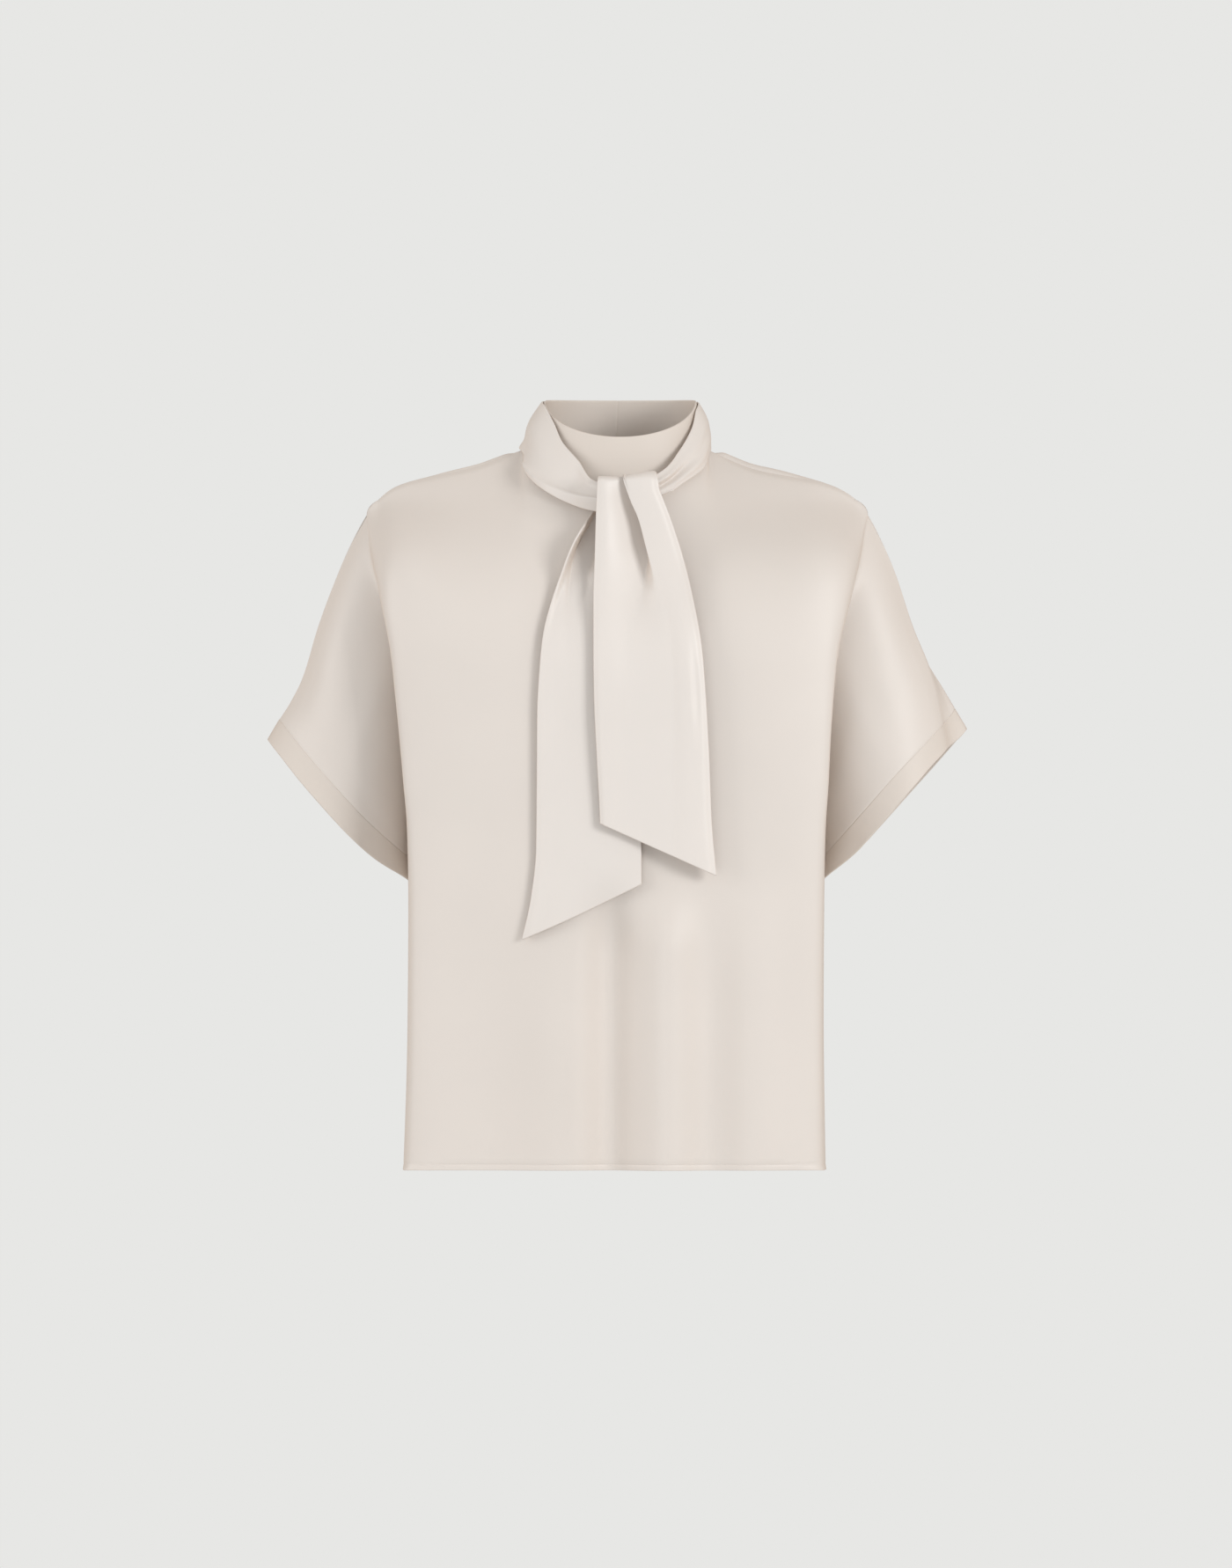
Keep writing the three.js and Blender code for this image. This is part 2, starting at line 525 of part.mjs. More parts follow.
// Closed wall on a grid: its points are the outer face, and the inner face lies a
// thickness behind them. Edges with cloth on one side only get a rim.
function wallOf(grid, thickness) {
  const normals = grid.normals ?? measure(grid).normals;
  const outer = grid.points;
  const inner = outer.map((p, k) => p.clone().addScaledVector(normals[k], -thickness));
  const count = outer.length;
  const index = [];
  const edges = new Map();
  eachCell(grid, ([a, b, c, d], column, row) => {
    const even = (column + row) % 2 === 0;
    const halves = even ? [[a, b, c], [a, c, d]] : [[a, b, d], [b, c, d]];
    for (const [p, q, r] of halves) {
      index.push(p, q, r, count + p, count + r, count + q);
    }
    for (const [p, q] of [[a, b], [b, c], [c, d], [d, a]]) edges.set(`${p},${q}`, [p, q]);
  });
  for (const [p, q] of edges.values()) {
    if (!edges.has(`${q},${p}`)) index.push(q, p, count + p, q, count + p, count + q);
  }
  const used = new Map();
  const positions = [];
  const all = [...outer, ...inner];
  const renumbered = index.map((k) => {
    if (!used.has(k)) {
      used.set(k, positions.length / 3);
      positions.push(all[k].x, all[k].y, all[k].z);
    }
    return used.get(k);
  });
  const geometry = new THREE.BufferGeometry();
  geometry.setAttribute('position', new THREE.Float32BufferAttribute(positions, 3));
  geometry.setIndex(renumbered);
  geometry.computeVertexNormals();
  return geometry;
}

const blouse = new THREE.Group();

function addPiece(name, geometry, finish) {
  const mesh = new THREE.Mesh(geometry, new THREE.MeshStandardMaterial(finish));
  mesh.name = name;
  blouse.add(mesh);
}

// ---- Front and back panels ----------------------------------------------------------
// Below the underarm line there is cloth only between the two side seams.
function isPanelCloth(columns, column, line) {
  return LINES[line] < UPPER_ROWS || (column >= SLEEVE_END && column < columns - SLEEVE_END);
}

const front = makeGrid(COLUMNS, LINES.length - 1, (column, line) => panelPoint(FRONT, column, LINES[line]), {
  isCloth: (column, line) => isPanelCloth(COLUMNS, column, line),
});

// The back has two more columns at its middle, one on each side of the neck slit.
function backColumn(column) {
  if (column <= MIDDLE - 1) return { column, shift: 0 };
  if (column === MIDDLE) return { column: MIDDLE, shift: -SLIT_HALF };
  if (column === MIDDLE + 1) return { column: MIDDLE, shift: SLIT_HALF };
  return { column: column - 1, shift: 0 };
}
const back = makeGrid(COLUMNS + 1, LINES.length - 1, (column, line) => {
  const place = backColumn(column);
  const point = panelPoint(BACK, place.column, LINES[line]);
  point.x += place.shift;
  return point;
}, {
  flip: true,
  isCloth: (column, line) => {
    const inSlit = column === MIDDLE && LINES[line] < SLIT_ROWS;
    return !inSlit && isPanelCloth(COLUMNS + 1, column, line);
  },
});

// ---- Collar: open at the centre back, its lower edge on the neck seam ------------------
const collar = makeGrid(2 * NECK_CELLS, COLLAR_ROWS, (column, row) => {
  const angle = Math.PI * (column / NECK_CELLS - 1);
  const atSlit = column === 0 || column === 2 * NECK_CELLS;
  const shift = atSlit ? (column === 0 ? -SLIT_HALF : SLIT_HALF) : 0;
  const top = collarTop(angle);
  const base = neckPoint(angle);
  const rise = 1 - row / COLLAR_ROWS;
  const lean = rise ** COLLAR_LEAN;
  const point = vec(mix(base.x, top.x, lean), mix(base.y, top.y, lean), mix(base.z, top.z, rise));
  point.x = atSlit ? shift : point.x;
  return point;
});

// ---- Sleeve bands: a ring each, from the sleeve's end line outwards ----------------------
function sleeveBand(hand) {
  const last = UPPER_LINES.length - 1;
  const around = 2 * last;
  const onFront = (step) => step <= last;
  const share = (step) => UPPER_LINES[onFront(step) ? step : around - step] / UPPER_ROWS;
  const sleeveAt = (step, out) => sleevePoint(onFront(step) ? FRONT : BACK, hand, out, share(step));
  const outward = hand === 'left' ? -1 : 1;
  return makeGrid(around, SLEEVE_BAND.cells, (column, row) => {
    const step = column % around;
    const from = sleeveAt(step, 1);
    const along = from.clone().sub(sleeveAt(step, 1 - 1 / SLEEVE_CELLS)).normalize();
    const under = smooth((share(step) - SLEEVE_BAND.under) / (1 - SLEEVE_BAND.under));
    along.x = mix(along.x, outward * SLEEVE_BAND.lean, under);
    along.y *= SLEEVE_BAND.squeeze;
    along.z = mix(along.z, -1, under);
    along.normalize();
    return from.addScaledVector(along, SLEEVE_BAND.width * row / SLEEVE_BAND.cells);
  }, { flip: hand === 'right', ring: true });
}
const bandLeft = sleeveBand('left');
const bandRight = sleeveBand('right');

sewTogether([front, back, collar, bandLeft, bandRight]);

addPiece('front_panel', wallOf(front, CLOTH), SATIN);
addPiece('back_panel', wallOf(back, CLOTH), SATIN);
addPiece('collar_band', wallOf(collar, DOUBLED), SATIN);
addPiece('sleeve_band_left', wallOf(bandLeft, DOUBLED), SATIN);
addPiece('sleeve_band_right', wallOf(bandRight, DOUBLED), SATIN);

// Depth of the front panel's outer face at a place, found by halving between columns.
const HALVINGS = 24;
function frontFace(x, z) {
  const hand = x < 0 ? 'left' : 'right';
  const pointIn = (cells) => {
    const top = columnTop(FRONT, hand, cells);
    return shellPoint(FRONT, hand, top, bearingOf(cells), Math.min(z, top.z));
  };
  let low = 0;
  let high = MIDDLE - CREST;
  for (let k = 0; k < HALVINGS; k += 1) {
    const half = (low + high) / 2;
    if (Math.abs(pointIn(half).x) < Math.abs(x)) low = half;
    else high = half;
  }
  return -pointIn(low).y;
}

// ---- Scarf round the neck -----------------------------------------------------------------
// Place at a turn about the neck, a distance out of the collar, at a height.
function aroundNeck(turn, out, z) {
  const angle = THREE.MathUtils.degToRad(turn);
  const c = Math.cos(angle);
  const base = neckPoint(angle);
  const top = collarTop(angle);
  const rise = clamp01((z - base.z) / (top.z - base.z)) ** COLLAR_LEAN;
  const outward = vec(Math.sin(angle), -c, 0);
  return vec(mix(base.x, top.x, rise), mix(base.y, top.y, rise), z).addScaledVector(outward, out);
}
const wrapTurns = WRAP.map((row) => -row.turn);
const wrapAt = (turn, column) => curveThrough(wrapTurns, WRAP.map((row) => row[column]), turn);
const wrap = makeGrid(WRAP_STEPS, WRAP_CELLS, (column, row) => {
  const turn = mix(wrapTurns[0], wrapTurns[wrapTurns.length - 1], column / WRAP_STEPS);
  const down = row / WRAP_CELLS;
  const z = mix(wrapAt(turn, 'topZ'), wrapAt(turn, 'lowZ'), down);
  const bulge = wrapAt(turn, 'bulge') * Math.sin(Math.PI * down);
  const out = mix(wrapAt(turn, 'topOut'), wrapAt(turn, 'lowOut'), down) + bulge;
  return aroundNeck(-turn, out, z);
}, { flip: true });
addPiece('scarf_neck_wrap', wallOf(wrap, DOUBLED), SCARF_SATIN);

// ---- Scarf tails and the turn over the knot --------------------------------------------------
function tailGrid(table, end, hang, layer, pleat) {
  return makeGrid(TAIL_CELLS, TAIL_ROWS, (column, row) => {
    const across = column / TAIL_CELLS;
    const top = table[0].z;
    const z = mix(top, mix(end.left, end.right, across), row / TAIL_ROWS);
    const x = mix(atHeight(table, 'left', z), atHeight(table, 'right', z), across);
    const fade = smooth((z - pleat.end) / (top - pleat.end));
    const crease = pleat.depth * Math.exp(-(((across - pleat.at) / pleat.width) ** 2)) * fade;
    const lying = frontFace(x, z) + layer;
    const depth = Math.max(hang - crease, lying);
    return vec(x, -depth, z);
  });
}
const backLayer = LAY_GAP + DOUBLED;
const frontLayer = backLayer + LAY_GAP + DOUBLED;
const backTail = tailGrid(BACK_TAIL, BACK_TAIL_END, TAIL_HANG.back, backLayer, BACK_TAIL_PLEAT);
const frontTail = tailGrid(FRONT_TAIL, FRONT_TAIL_END, TAIL_HANG.front, frontLayer, FRONT_TAIL_PLEAT);

const knotRun = KNOT_TURN.map((row, k) => k / (KNOT_TURN.length - 1));
const knot = makeGrid(KNOT_CELLS, KNOT_ROWS, (column, row) => {
  const value = (name) => curveThrough(knotRun, KNOT_TURN.map((entry) => entry[name]), row / KNOT_ROWS);
  const x = mix(value('left'), value('right'), column / KNOT_CELLS);
  return vec(x, value('y'), value('z'));
});

addPiece('scarf_knot_turn', wallOf(knot, DOUBLED), SCARF_SATIN);
addPiece('scarf_front_tail', wallOf(frontTail, DOUBLED), SCARF_SATIN);
addPiece('scarf_back_tail', wallOf(backTail, DOUBLED), SCARF_SATIN);

// ---- Back closure: a covered button beside the slit, and a thread loop round it -------------
// Frame on the back beside the slit, on the cell that the button sits on.
function slitFrame() {
  const corner = (column, line) => back.points[indexOf(back, column, line)].clone();
  const column = MIDDLE + 1;
  const edge = corner(column, 1).lerp(corner(column, 2), BUTTON.down);
  const far = corner(column + 1, 1).lerp(corner(column + 1, 2), BUTTON.down);
  const across = far.sub(edge).normalize();
  const down = corner(column, 2).sub(corner(column, 1)).normalize();
  const normal = across.clone().cross(down).normalize();
  return { edge, across, down, normal };
}
const frame = slitFrame();

const buttonProfile = [
  [0, 0], [0.8, 0], [1, 0.25], [1, 0.55], [0.75, 0.9], [0.35, 1], [0, 1],
].map(([out, up]) => new THREE.Vector2(out * BUTTON.radius, up * BUTTON.thick));
const button = new THREE.LatheGeometry(buttonProfile, BUTTON.segments);
const seat = frame.edge.clone().addScaledVector(frame.across, BUTTON.fromSlit)
  .addScaledVector(frame.normal, BUTTON.clear);
button.applyQuaternion(new THREE.Quaternion().setFromUnitVectors(vec(0, 1, 0), frame.normal));
button.translate(seat.x, seat.y, seat.z);
addPiece('back_button', button, BUTTON_FINISH);

// The loop leaves the other edge of the slit, goes round the button and comes back.
const loopRadius = BUTTON.radius + LOOP.thread + LOOP.clear;
const loopPlace = (out, down) => frame.edge.clone().addScaledVector(frame.across, out)
  .addScaledVector(frame.down, down).addScaledVector(frame.normal, LOOP.thread + LOOP.clear);
const loopPath = [loopPlace(LOOP.root, -LOOP.spread)];
for (let k = 0; k <= LOOP.bends; k += 1) {
  const angle = LOOP.turn * (2 * k / LOOP.bends - 1);
  const out = BUTTON.fromSlit + loopRadius * Math.cos(angle);
  loopPath.push(loopPlace(out, loopRadius * Math.sin(angle)));
}
loopPath.push(loopPlace(LOOP.root, LOOP.spread));
const loopCurve = new THREE.CatmullRomCurve3(loopPath);
const threadSection = new THREE.Shape();
threadSection.absarc(0, 0, LOOP.thread, 0, 2 * Math.PI);
const loop = new THREE.ExtrudeGeometry(threadSection, {
  steps: LOOP.steps, extrudePath: loopCurve, curveSegments: LOOP.sides / 2, bevelEnabled: false,
});
addPiece('back_button_loop', loop, BUTTON_FINISH);

export default blouse;
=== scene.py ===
"""A short-sleeved ivory satin blouse with a mock-neck collar and a scarf tied round it.

Every piece of cloth is a surface on a grid of two parameters, worked out as whole arrays
in millimetres and turned into metres when its mesh is made. The surfaces follow the
frame's solids, with finer folds laid on them. Left and right are as seen from the front.
"""

import math

import bpy
import numpy as np
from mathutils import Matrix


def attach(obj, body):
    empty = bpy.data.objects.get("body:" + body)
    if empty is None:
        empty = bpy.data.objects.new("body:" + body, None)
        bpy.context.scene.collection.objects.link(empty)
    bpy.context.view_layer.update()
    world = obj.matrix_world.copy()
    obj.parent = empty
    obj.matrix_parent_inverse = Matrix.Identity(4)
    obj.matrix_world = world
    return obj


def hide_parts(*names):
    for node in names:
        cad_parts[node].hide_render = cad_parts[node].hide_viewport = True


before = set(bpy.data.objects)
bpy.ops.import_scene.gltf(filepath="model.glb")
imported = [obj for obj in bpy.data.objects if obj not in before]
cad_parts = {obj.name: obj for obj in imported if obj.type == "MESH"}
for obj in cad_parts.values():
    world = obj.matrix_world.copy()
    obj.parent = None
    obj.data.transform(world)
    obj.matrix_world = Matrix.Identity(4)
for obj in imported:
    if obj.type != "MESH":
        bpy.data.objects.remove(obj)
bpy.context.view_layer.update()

MM = 0.001

# ---------------------------------------------------------------- sizes and tables

CLOTH = 0.8            # wall of the single cloth
DOUBLED = 1.6          # wall of doubled cloth: collar, bands and scarf
SEAM_DIP = 0.35        # how far cloth sinks into a pressed seam
SEAM_REACH = 1.5       # how wide that sinking is

# Cells of each half's coarse lay-out, from the sleeve's end in to the middle, and its rows.
SLEEVE_CELLS = 6
FOLD_CELLS = 2
SHOULDER_CELLS = 5
HALF_NECK_CELLS = 7
TO_CREST = HALF_NECK_CELLS + SHOULDER_CELLS
TO_CREASE = TO_CREST + FOLD_CELLS
HALF_CELLS = TO_CREASE + SLEEVE_CELLS
UPPER_ROWS = 10
LOWER_ROWS = 7
FINE_ACROSS = 8        # fine steps to a cell, across and down
FINE_DOWN = 8

UNDERARM_Z = -318.0
HEM_Z = -607.0
NECK = dict(half=78.0, middle=-8.0, front=64.0, back=66.0, z=-1.0, front_drop=43.0, back_drop=8.0)
COLLAR_TOP = dict(x=4.0, half=64.5, middle=-5.0, front=52.0, back=56.0, z=41.0, front_drop=33.0)
NECK_DIP_POWER = 1.3   # above 1 the neck seam dips more near the centre front
COLLAR_DIP_EASE = 0.03  # rounds the start of the collar's dip
COLLAR_LEAN = 0.55     # below 1 the collar flares only near its foot
COLLAR_GAP = 0.3       # between the ends of the buttoned collar
SLIT_HALF = 0.6        # half width of the slit at the centre back
SLIT_ROWS = 4          # rows of the back that the slit runs down


def columns(names, *rows):
    """A short table: one array for each named column."""
    values = np.array(rows, dtype=float).T
    return dict(zip(names.split(), values))


# Seam along the shoulder and over the arm, from the neck outwards.
OVERARM_LEFT = columns(
    "x y z",
    (78, -8, -1), (97, -9, -8), (118, -9, -15.5), (149, -9, -22.5), (172, -9, -27.5),
    (187, -9, -33), (200, -9, -43), (210, -9, -56), (223.5, -9, -81), (234.5, -9, -106),
    (251, -8, -150), (264.5, -6, -194), (275, -3, -215), (284, -2, -229),
)
OVERARM_RIGHT = columns(
    "x y z",
    (78, -8, -1), (97, -9, -10), (118, -10, -18), (149, -10, -24), (172, -10, -28),
    (188, -10, -33.5), (202, -10, -42.5), (213, -10, -56), (226, -10, -81), (236.5, -10, -106),
    (251, -12, -150), (264, -14, -183), (271, -15, -206), (277, -16, -233),
)
SHOULDER_POINT = 6     # row of the shoulder's point
ARM_START = 7          # row where the sleeve begins

# End of each sleeve, from the seam over the arm to the one under it.
SLEEVE_LINES = {
    ("front", "left"): columns(
        "x z", (284, -229), (273, -243), (259, -260), (237, -285), (215, -309), (194, -329),
        (172.5, -347)),
    ("front", "right"): columns(
        "x z", (277, -233), (257, -254), (236, -276), (214, -301), (193, -325), (173, -347)),
    ("back", "left"): columns(
        "x z", (284, -229), (271, -241), (235, -281), (194, -327), (172.5, -347)),
    ("back", "right"): columns(
        "x z", (277, -233), (284, -225), (287, -220), (280, -228), (236, -277), (194, -324),
        (173, -347)),
}
SLEEVE_FULL = 46.0     # how far the sleeve stands out to front and back
SLEEVE_HOLD = 2        # above 1 the sleeve keeps the crease's form for longer
SLEEVE_ROUND = 0.6     # below 1 the sleeve's opening is fuller at its ends
SLEEVE_BULGE = 8       # and its middle stands out this much more
# Width of a sleeve band. Past a share of the opening it turns to hang straight down,
# leaning in a little, and it keeps only part of the sleeve's way to front or back.
BAND = dict(width=19.0, under=0.75, lean=-0.06, squeeze=0.3)

# Drape fold: half width and depth of its crest, and the crease behind it.
CREST = {
    "front": columns(
        "z left right depth",
        (-44, 200, 202, 9), (-75, 202, 205, 50), (-97, 200, 202, 68), (-130, 195, 193, 80),
        (-160, 190, 188, 86), (-200, 186, 184, 89), (-240, 182, 181, 91),
        (-290, 177.5, 178.5, 91), (-318, 175.5, 177, 90), (-400, 174, 175.5, 88),
        (-500, 174.5, 174.5, 85), (-607, 178, 175.5, 82)),
    "back": columns(
        "z left right depth",
        (-44, 200, 202, 9), (-75, 201, 204, 40), (-97, 197, 200, 53), (-130, 190, 189, 63),
        (-160, 185, 184, 69), (-200, 180, 179, 73), (-240, 176, 176, 74), (-290, 172, 173, 72),
        (-318, 171, 172, 71), (-400, 170, 171, 70), (-500, 172, 171, 69), (-607, 175, 173, 67)),
}
CREASE = columns(
    "z out depth",
    (-56, 208, 9), (-75, 208, 26), (-97, 204, 36), (-130, 191, 41), (-160, 182, 41),
    (-200, 175, 36), (-240, 171, 27), (-290, 168, 11), (-318, 168, 0), (-400, 170, 0),
    (-500, 172, 0), (-607, 175, 0),
)
MIDDLE_DEPTH = {
    "front": columns(
        "z depth",
        (-44, 96), (-120, 108), (-190, 114), (-318, 112), (-450, 108), (-607, 106)),
    "back": columns(
        "z depth",
        (-10, 84), (-90, 96), (-160, 101), (-318, 97), (-450, 100), (-607, 104)),
}
SHELL_POWER = 0.68     # below 1 the body's oval is fuller at its sides
SWING_RUN = 150.0      # drop over which the body leaves its seam for its own width
CHEST_RUN = 165.0      # drop over which its depth fills out at the middle
CREST_RUN = 58.0       # and at the drape fold's crest
CHEST_EASE = 2.2       # above 1 it fills out sooner
NECK_BEARING = 0.5     # bearing of the column where neck and shoulder meet
CREASE_START = 19.0    # drop over which the crease leaves the seam
# Rise of the back behind the shoulder seam: heights, row of its top, where it starts
# and ends along the shoulder, and the rows over which it fades.
RIDGE = dict(left=5.4, right=8.2, row=0.15, start=8, end=0.4, going=0.6, fade=0.8)
# Rounding of the cloth just below the seam: how far out, over which drops and bearings.
SHOULDER_ROUND = dict(out=2.4, run=4.5, fade=35.0, bearing=0.3)
WALL_BULGE = 2.2       # the cloth between crest and crease stands out this far
WALL_ROWS = 3          # rows over which that grows
SIGN = {"front": -1.0, "back": 1.0}

# Soft folds: place at the hem and lean, half width to each side, depth, top and full height.
LEAN_RUN = 200.0       # height over which a fold moves sideways by its lean
FOLDS = {
    "front": columns(
        "x lean left right depth top full",
        (-4, 0, 20, 17, -12.5, -350, -425), (42, 0, 20, 26, 12, -350, -425),
        (-112, 2, 34, 36, -6, -330, -470), (-48, 2, 26, 24, 3, -340, -460),
        (80, 0, 20, 20, -3.4, -330, -470), (116, -2, 20, 24, 5, -300, -470)),
    "back": columns(
        "x lean left right depth top full",
        (-52, 6, 28, 24, -5, -220, -480), (-100, 0, 30, 30, 4, -280, -520),
        (44, -6, 26, 22, -4, -260, -560), (98, 4, 32, 30, -4, -200, -470)),
}

# The scarf round the neck at each turn: both edges' distance and height, and its bulge.
WRAP = columns(
    "turn top_out top_z low_out low_z bulge",
    (4, 27, -33, 22, -56, 1.5), (14, 20, -28, 18, -53, 1.5), (26, 10, -12, 13, -47, 1.5),
    (42, 6, 4, 12, -36, 1.8), (58, 3, 22, 10, -23, 3), (78, 2.2, 36, 5.5, -4, 5),
    (100, 2.1, 39.5, 4, 2.5, 5), (130, 2.1, 39, 5.5, -1, 3), (160, 2.3, 38.5, 5, -6, 1.5),
    (180, 2.3, 38.5, 5, -7, 1.5), (200, 2.3, 38.5, 5, -6, 1.5), (230, 2.1, 39, 5.5, -1, 3),
    (260, 2.1, 39, 4, 2.5, 5), (282, 2.3, 33, 5.5, -4, 5), (300, 5, 16, 9, -17, 3),
    (318, 9, -3, 13, -28, 1.8), (332, 17, -18, 17, -38, 1.5), (346, 26, -29, 21, -47, 1.5),
)
# Edges of the two tails, and the heights of their slanting lower edges at left and right.
FRONT_TAIL = columns(
    "z left right",
    (-36, -15, 36), (-63, -16, 46), (-97, -17, 56.5), (-128, -18, 64), (-173, -18, 72),
    (-210, -17.5, 75), (-264, -15, 78), (-315, -12.5, 80), (-360, -12, 84),
)
FRONT_TAIL_END = (-315.0, -359.0)
BACK_TAIL = columns(
    "z left right",
    (-49, -14, -2), (-58, -20, 0), (-66, -25, 1), (-74, -30, 2), (-81, -34, 2), (-102, -43, 5),
    (-130, -53, 9), (-158, -60, 12), (-186, -63, 15), (-223, -65, 18), (-298, -65.5, 20),
    (-339, -66, 21), (-380, -70.5, 21), (-414, -78, 21),
)
BACK_TAIL_END = (-413.0, -367.0)
# The turn over the knot, from behind over its top to the front.
KNOT_TURN = columns(
    "y z left right",
    (-77, -42, -6, 18), (-79, -32, -9, 20), (-87, -24.5, -12, 25), (-98, -23.5, -14, 33),
    (-105, -28, -14.5, 35), (-106, -35.5, -15, 36),
)

# ---------------------------------------------------------------- small maths


def smooth(t):
    """Soft step from 0 to 1."""
    t = np.clip(t, 0.0, 1.0)
    return t * t * (3 - 2 * t)


def mix(a, b, t):
    """Straight blend from a to b."""
    return a + (b - a) * t


def unit(vectors):
    """Vectors made one long."""
    return vectors / np.maximum(np.linalg.norm(vectors, axis=-1, keepdims=True), 1e-9)


def rows_of(table):
    """The rows of a table, each with its named values."""
    return [dict(zip(table, values)) for values in zip(*table.values())]


def curve_through(at, value, where):
    """Cubic through the knots (at, value) whose slopes are the harmonic mean of the
    chords on each side, or none at a turning point, so it never overshoots."""
    at = np.asarray(at, float)
    value = np.asarray(value, float)
    chord = np.diff(value) / np.diff(at)
    before, after = chord[:-1], chord[1:]
    product = before * after
    total = np.where(before + after == 0, 1.0, before + after)
    inner = np.where(product > 0, 2 * product / total, 0.0)
    slope = np.concatenate([chord[:1], inner, chord[-1:]])
    w = np.clip(where, at[0], at[-1])
    k = np.clip(np.searchsorted(at, w, side="right") - 1, 0, len(at) - 2)
    span = at[k + 1] - at[k]
    t = (w - at[k]) / span
    start = (1 + 2 * t) * (1 - t) ** 2 * value[k] + t * (1 - t) ** 2 * span * slope[k]
    end = t * t * (3 - 2 * t) * value[k + 1] + t * t * (t - 1) * span * slope[k + 1]
    return start + end


def at_height(table, name, z):
    """A column of a table whose rows go down in height."""
    return curve_through(-table["z"], table[name], -z)


def along_line(table, t, first=0, last=-1):
    """Point of the line through a table's rows, at a share t of its length between two rows."""
    x, z = table["x"], table["z"]
    y = table["y"] if "y" in table else np.zeros_like(x)
    steps = np.sqrt(np.diff(x) ** 2 + np.diff(y) ** 2 + np.diff(z) ** 2)
    run = np.concatenate([[0.0], np.cumsum(steps)])
    where = mix(run[first], run[last], t)
    return np.stack([curve_through(run, v, where) for v in (x, y, z)], axis=-1)


def bell(x, centre, width):
    """Bell: e to minus the square of the distance from centre over width."""
    return np.exp(-(((x - centre) / width) ** 2))


def bump(x, centre, left, right):
    """Bell round centre with its own width to each side."""
    return bell(x, centre, np.where(x < centre, left, right))


RELAX_STEP = 0.7       # share of the way to its neighbours that a point may move at once


def relax(points, give, passes):
    """Each point moves towards the middle of its four neighbours by its own give, again
    and again; the border stays."""
    for _ in range(passes):
        middle = points.copy()
        middle[1:-1, 1:-1] = 0.25 * (
            points[:-2, 1:-1] + points[2:, 1:-1] + points[1:-1, :-2] + points[1:-1, 2:])
        points = mix(points, middle, RELAX_STEP * give[..., None])
    return points


def grid_normals(points, flip=1.0):
    """Unit normal at each grid point: the cross product of the steps across and down."""
    across = np.gradient(points, axis=1)
    down = np.gradient(points, axis=0)
    return unit(np.cross(down, across) * flip)


# ---------------------------------------------------------------- the blouse's surfaces


def neck_point(angle):
    """Neck seam: an oval, lower in front. Angle 0 is the centre front."""
    c = np.cos(angle)
    ahead = c > 0
    reach = np.where(ahead, NECK["front"], NECK["back"])
    front_drop = NECK["front_drop"] * np.abs(c) ** NECK_DIP_POWER
    drop = np.where(ahead, front_drop, NECK["back_drop"] * np.abs(c))
    return np.stack(
        [NECK["half"] * np.sin(angle), NECK["middle"] - reach * c, NECK["z"] - drop], axis=-1)


def collar_top(angle):
    """Top of the collar: a smaller oval, level behind and dipping in front."""
    c = np.cos(angle)
    reach = np.where(c > 0, COLLAR_TOP["front"], COLLAR_TOP["back"])
    dip = (c + np.sqrt(c * c + COLLAR_DIP_EASE)) / (1 + math.sqrt(1 + COLLAR_DIP_EASE))
    return np.stack([
        COLLAR_TOP["x"] + COLLAR_TOP["half"] * np.sin(angle),
        COLLAR_TOP["middle"] - reach * c,
        COLLAR_TOP["z"] - COLLAR_TOP["front_drop"] * dip,
    ], axis=-1)


def overarm(hand):
    """The seam over the arm on one side."""
    return OVERARM_LEFT if hand == "left" else OVERARM_RIGHT


def seam_top(hand, share):
    """Seam point of a column: 0 to 1 along the shoulder, 1 to 2 on to the crease."""
    on_shoulder = along_line(overarm(hand), np.clip(share, 0, 1), 0, SHOULDER_POINT)
    past_it = along_line(overarm(hand), np.clip(share - 1, 0, 1), SHOULDER_POINT, ARM_START)
    return np.where((share <= 1)[..., None], on_shoulder, past_it)


def column_top(side, hand, cells):
    """Seam point at the top of a column that lies a number of cells out from the middle."""
    turn = (math.pi / 2) * np.clip(cells / HALF_NECK_CELLS, 0, 1)
    at_neck = neck_point(turn if side == "front" else math.pi - turn)
    share = np.where(
        cells > TO_CREST, 1 + (cells - TO_CREST) / FOLD_CELLS,
        (cells - HALF_NECK_CELLS) / SHOULDER_CELLS)
    on_seam = seam_top(hand, np.clip(share, 0, 2))
    return np.where((cells <= HALF_NECK_CELLS)[..., None], at_neck, on_seam)


def bearing_of(cells):
    """Bearing of a column: 0 at the middle and a right angle at the drape fold's crest."""
    beyond = np.clip((cells - HALF_NECK_CELLS) / SHOULDER_CELLS, 0, 1)
    inside = NECK_BEARING * cells / HALF_NECK_CELLS
    return np.where(cells <= HALF_NECK_CELLS, inside, mix(NECK_BEARING, math.pi / 2, beyond))


def fold_push(side, x, z):
    """Sum of the soft folds: a bell across times a soft step down."""
    push = np.zeros_like(x)
    for fold in rows_of(FOLDS[side]):
        centre = fold["x"] + fold["lean"] * (z - HEM_Z) / LEAN_RUN
        down = smooth((fold["top"] - z) / (fold["top"] - fold["full"]))
        push += fold["depth"] * bump(x, centre, fold["left"], fold["right"]) * down
    return push


